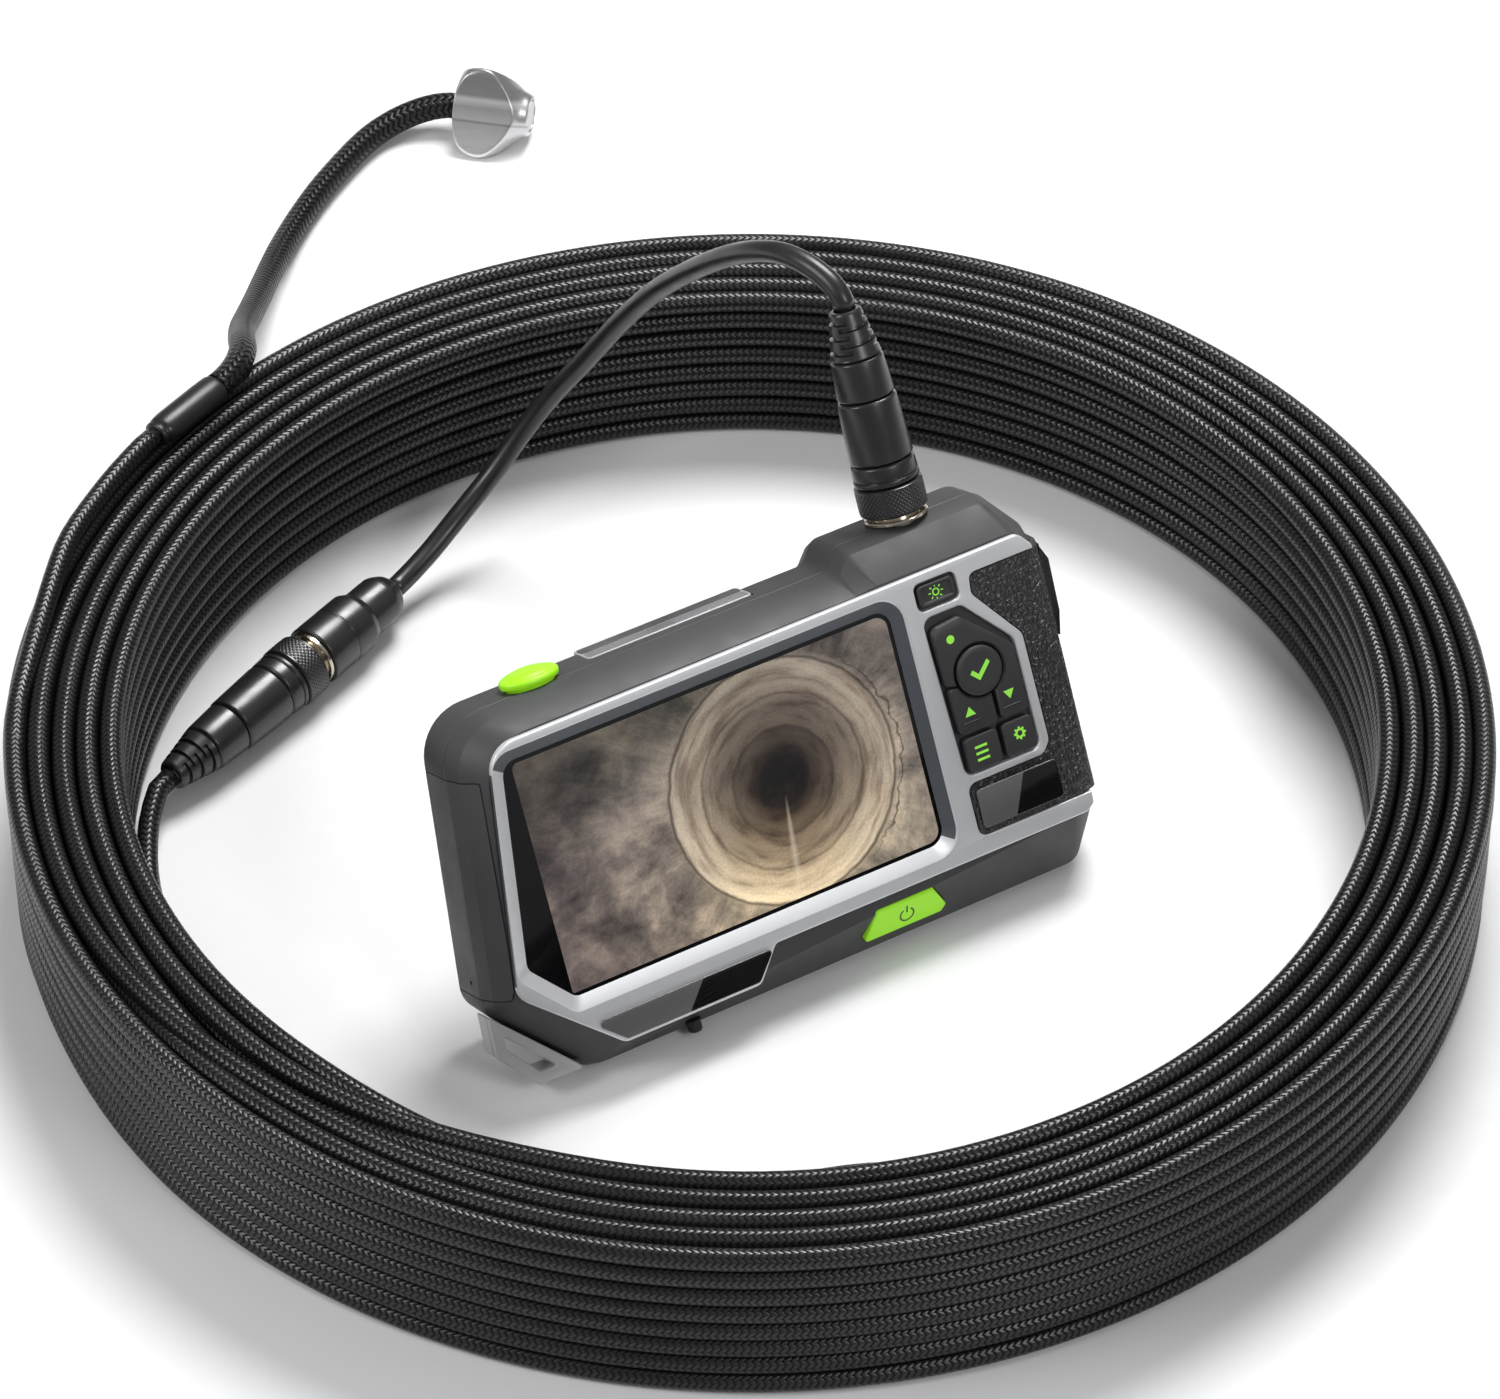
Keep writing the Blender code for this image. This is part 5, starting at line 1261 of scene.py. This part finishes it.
def build_keys():
    centre = across(*OK_CENTRE, 1)
    around = ((0.7, -4), (0.7, 0.9), (1.2, 1.4), (1.9, 2.6))
    ring = [(0, -4)] + [(OK_RADIUS + r, z) for r, z in around] + [(0, 2.6)]
    for name, corners in KEY_SHAPES.items():
        sections = key_sections(corners, 2.6 if name == "rocker_key" else 0.0)
        cap = loft(f"{name}_cap", sections, "key", angle=42.0)
        if name in ("rocker_key", "up_key"):
            cut(cap, turned(f"tool_ok_{name}", ring, None, centre, 72), angle=42.0)
        piece(cap, "key", name, body=name)
    crown = ((0.0, -1.1), (0.0, 1.25), (0.15, 1.65), (0.5, 1.9), (1.1, 2.0), (2.2, 1.93))
    profile = [(0, -1.1)] + [(OK_RADIUS - r, z) for r, z in crown] + [(0, 1.85)]
    ok = turned("ok_key_cap", profile, "key", centre, 96, angle=50.0)
    piece(ok, "key", "ok_key", body="ok_key")

    corners = oblong(54.3, 66.1, 94.1, 100.6, 1.5)
    rim = ((0.02, 0.15), (-0.1, 0.4), (-0.1, 0.8), (0.1, 1.05), (0.5, 1.3), (0.55, 1.5))
    sections = [(KEY_BACK, corners), (0.3, corners)]
    sections += [(depth, inset(corners, amount)) for depth, amount in rim]
    light = loft("light_key_cap", sections, "key", angle=42.0)
    piece(light, "key", "light_key", body="light_key")

    sun = [band(60.2, 97.35, 0.75, 1.15)]
    for n in range(8):
        way = Vector((math.cos(n * math.pi / 4), math.sin(n * math.pi / 4)))
        middle = Vector((60.2, 97.35))
        sun.append(stroke(middle + way * 1.6, middle + way * 2.35, 0.36))
    icon("light_icon", "light_key", sun, front=0.55)
    icon("record_icon", "rocker_key", [arc(60.1, 83.1, 1.25, 90, 447, 32)])
    tick = [(63.3, 71.2), (64.2, 72.2), (65.9, 70.5), (69.5, 74.1), (70.4, 73.1), (65.9, 68.6)]
    icon("confirm_icon", "ok_key", [tick], front=-1.85)
    icon("up_icon", "up_key", [[(58.9, 59.6), (60.6, 62.3), (62.3, 59.6)]])
    icon("down_icon", "rocker_key", [[(72.2, 62.6), (75.6, 62.6), (73.9, 59.9)]])
    icon("menu_icon", "menu_key",
         [stroke((59.4, 46.2 + 1.9 * n), (63.4, 46.2 + 1.9 * n), 0.75) for n in range(3)])
    teeth = []
    for n in range(8):
        middle = 360 / 8 * n
        teeth += arc(74.2, 49.1, 1.95, middle - 9, middle + 9, 3)
        teeth += arc(74.2, 49.1, 1.45, middle + 14, middle + 31, 3)
    gear = teeth + [teeth[0]] + list(reversed(arc(74.2, 49.1, 0.8, -9, 350.9, 32)))
    icon("settings_icon", "settings_key", [gear])
    for name, body, x0, x1, z in (("up_bar", "up_key", 57.7, 63.5, 57.6),
                                  ("down_bar", "rocker_key", 70.9, 76.9, 57.7)):
        bar = rounded_plate(name, oblong(x0, x1, z - 0.45, z + 0.45, 0.4), KEY_FRONT - 0.3,
                            KEY_FRONT + 0.05, "key", 0.25)
        piece(bar, "key", body=body)


POWER_SHAPE = [(-13.4, -5.2, 1.0), (-9.4, 5.4, 1.0), (9.4, 5.4, 1.0), (14.0, -3.0, 1.0), (12.2, -5.2, 1.0)]


def build_buttons():
    dome = [(0, -3.2), (7.2, -3.2), (7.2, 0.9), (8.7, 0.9), (8.9, 1.1), (9.0, 2.0), (8.9, 2.5),
            (8.5, 2.95), (7.9, 3.2), (7.3, 3.22),
            (6.9, 3.35), (6.2, 3.75), (5.2, 4.05), (3.6, 4.25), (0, 4.4)]
    shutter = turned("shutter_dome", dome, "lime", shutter_place(), 96, angle=50.0)
    piece(shutter, "lime", "shutter_button", body="shutter_button")

    sections = [(1.6, POWER_SHAPE), (-0.9, POWER_SHAPE)]
    sections += [(-1.7 + 0.8 * a, inset(POWER_SHAPE, 0.8 * b)) for a, b in quarter(5, 1)]
    cap = loft("power_cap", sections, "lime", power_place(), angle=42.0)
    piece(cap, "lime", "power_button", body="power_button")
    icon("power_icon", "power_button",
         [band(0.6, -0.3, 1.95, 2.45, 122, 418, 36), stroke((0.6, 0.5), (0.6, 3.0), 0.5)],
         "ink", power_place(), -1.7, 0.03)


def port_plate(name, low, high, z0, z1, mat, edge):
    """A rounded plate lying on the top edge, between two (x, y) corners."""
    corners = oblong(low[0], high[0], low[1], high[1], 1.4)
    shapes = ((z0, corners), (z1 - edge, corners), (z1, inset(corners, edge)))
    bm = bmesh.new()
    skin(bm, [[(p.x, p.y, z) for p in fillet(shape, 6)] for z, shape in shapes])
    return to_object(name, bm, mat, HANDSET)


def build_ports():
    cover = port_plate("port_cover_frame", (-38.0, 21.8), (15.0, 32.6), 108.3, 109.75, "light_metal", 0.15)
    piece(cover, "cover", "port_cover", body="port_cover")
    for side, mat, y0, y1 in (("front", "cover", 22.4, 27.0), ("back", "cover_dark", 27.2, 32.0)):
        strip = port_plate(f"port_cover_{side}", (-37.4, y0), (14.4, y1), 109.6, 109.80, mat, 0.05)
        piece(strip, "cover", body="port_cover")


def build_lug():
    outer = [(-75.6, 3.0, 0.5), (-90.2, 3.2, 2.0), (-100.0, 15.6, 1.5), (-99.4, 27.6, 0.4)]
    lug = loft("silver_lug",
               [(16.8, outer), (8.9, outer), (8.68, inset(outer, 0.09)), (8.6, inset(outer, 0.3))],
               "light_metal")
    slot_shape = [(-83.4, 6.6, 0.4), (-88.8, 6.9, 1.4), (-96.9, 17.0, 1.2), (-96.6, 20.7, 0.4)]
    slot = loft("tool_lug_slot",
                [(4.0, inset(slot_shape, -0.4)), (8.6, inset(slot_shape, -0.3)), (8.9, slot_shape),
                                  (22.0, slot_shape)])
    clear = loft("tool_lug_case", [(d, inset(c, -GAP)) for d, c in case_sections(FRONT, PARTING + 1.3)])
    seam = loft("tool_lug_seam", [(10.9, inset(outer, -1.0)), (11.2, inset(outer, -1.0))])
    ring = loft("tool_lug_core", [(10.0, inset(outer, 0.35)), (12.0, inset(outer, 0.35))])
    cut(seam, ring)
    cut(lug, clear, slot, seam)
    piece(lug, "light_metal", "strap_lug")


def build_stand():
    """The stand: a panel with a rolled hinge, a shallow pocket and four ribs to grip it by."""
    place = handset_at(0, 35.4, 79.0) @ Matrix.Rotation(math.radians(48.0), 4, "X")
    hinge = place @ Matrix.Rotation(math.pi / 2, 4, "Y")
    leg = [(-25.0, -64.3, 5.0), (-29.8, -12.0, 6.0), (-29.8, 1.4, 1.0), (29.8, 1.4, 1.0),
           (29.8, -12.0, 6.0), (25.0, -64.3, 5.0)]
    panel = loft("stand_panel", [(-0.2, inset(leg, 0.3)), (0.1, leg), (2.0, leg), (2.3, inset(leg, 0.3))],
                 "guard", place)
    barrel = rod("tool_barrel", 2.3, -29.8, 29.8, hinge, 40)
    bore = rod("tool_bore", 1.4, -31, 31, hinge, 32)
    pocket = [(-19.0, -52.0, 4.0), (-22.4, -16.0, 4.0), (22.4, -16.0, 4.0), (19.0, -52.0, 4.0)]
    outside = loft("tool_stand_pocket", [(1.5, inset(pocket, 0.5)), (2.6, pocket)], None, place)
    cut(panel, barrel, operation="UNION")
    cut(panel, bore, outside)
    grips = []
    for row in range(4):
        z = -24.0 - 7.0 * row
        half = 15.0 - row
        corners = oblong(-half, half, z - 1.0, z + 1.0, 0.9)
        grips.append(loft(f"tool_stand_rib_{row}", [(1.2, corners), (2.1, inset(corners, 0.3))], None,
                          place, 5))
    cut(panel, *grips, operation="UNION")
    piece(panel, "guard", "kickstand", body="kickstand")


def finish_cad_nodes():
    """The CAD nodes that stay: their finish, a weld, and broken edges on all but the board, battery, panel
    and key mat.
    """
    finishes = {
        "key_mat": "rubber", "bottom_foot": "rubber", "kickstand_pin": "screw", "tripod_insert": "brass",
        "port_block": "dark",
        "main_board": "board", "battery_pack": "cell", "lcd_panel": "dark", "camera_module": "dark",
        "head_barrel": "dark",
        "led_ring": "led", "lens_window": "lens", **{f"case_screw_{n}": "screw" for n in range(1, 5)},
    }
    for name, mat in finishes.items():
        obj = frame["nodes"][name]
        obj.data.materials.clear()
        obj.data.materials.append(MATS[mat])
        weld = obj.modifiers.new("weld", "WELD")
        weld.merge_threshold = 0.00001
        if name not in ("main_board", "battery_pack", "lcd_panel", "key_mat"):
            bevel(obj, 0.12, 2, 35.0)


# ---------------------------------------------------------------------------------------------
# Stage


CAMERA_AT = (-0.6654, -1.1258, 1.3160)
CAMERA_LOOKS = (0.36949, 0.62531, -0.68736)
CAMERA_LENS = 154.65
LIT_POINT = (0.0, 0.05, 0.03)
LIGHTS = {
    "key_light": ((0.75, 0.75, 1.7), 0.9, 38.0),
    "left_light": ((-1.5, 0.3, 1.2), 0.8, 12.0),
    "front_light": ((0.3, -1.5, 1.4), 0.7, 9.0),
}


def aim(obj, place, direction):
    obj.location = place
    obj.rotation_mode = "QUATERNION"
    obj.rotation_quaternion = Vector(direction).to_track_quat("-Z", "Y")


def area_light(name, place, size, power):
    light = bpy.data.lights.new(name, "AREA")
    light.shape = "DISK"
    light.size = size
    light.energy = power
    aim(add_object(name, light), place, Vector(LIT_POINT) - Vector(place))


def build_stage():
    scene = bpy.context.scene
    camera = bpy.data.cameras.new("camera")
    camera.lens = CAMERA_LENS
    camera.sensor_width = 36.0
    camera.clip_start, camera.clip_end = 0.05, 50.0
    scene.camera = add_object("camera", camera)
    aim(scene.camera, CAMERA_AT, CAMERA_LOOKS)

    bm = bmesh.new()
    bmesh.ops.create_grid(bm, x_segments=8, y_segments=8, size=6.0)
    mesh = bpy.data.meshes.new("floor")
    bm.to_mesh(mesh)
    bm.free()
    floor = add_object("floor", mesh)
    mesh.materials.append(moulded("floor_white", (0.86, 0.86, 0.865), 0.6, 0.000001, 300.0, 0.01))

    world = bpy.data.worlds.new("studio")
    world.use_nodes = True
    scene.world = world
    tree = world.node_tree
    ground = tree.nodes["Background"]
    coordinates = tree.nodes.new("ShaderNodeTexCoord")
    split = tree.nodes.new("ShaderNodeSeparateXYZ")
    ramp = tree.nodes.new("ShaderNodeValToRGB")
    tree.links.new(coordinates.outputs["Generated"], split.inputs[0])
    tree.links.new(split.outputs[2], ramp.inputs[0])
    tree.links.new(ramp.outputs[0], ground.inputs[0])
    ramp.color_ramp.elements[0].color = (0.42, 0.42, 0.43, 1)
    ramp.color_ramp.elements[1].position = 0.7
    ramp.color_ramp.elements[1].color = (0.85, 0.85, 0.86, 1)
    ground.inputs[1].default_value = 0.40
    for name, (place, size, power) in LIGHTS.items():
        area_light(name, place, size, power)
    scene.view_settings.view_transform = "Standard"


def main():
    build_stage()
    cords = build_cords()
    plug, joint = build_connectors()
    sleeve = build_sleeve()
    skid = build_head()
    build_casing()
    build_bezel()
    build_grip()
    build_keys()
    build_buttons()
    build_ports()
    build_lug()
    build_stand()
    clear_cutters()
    finish_cad_nodes()


main()
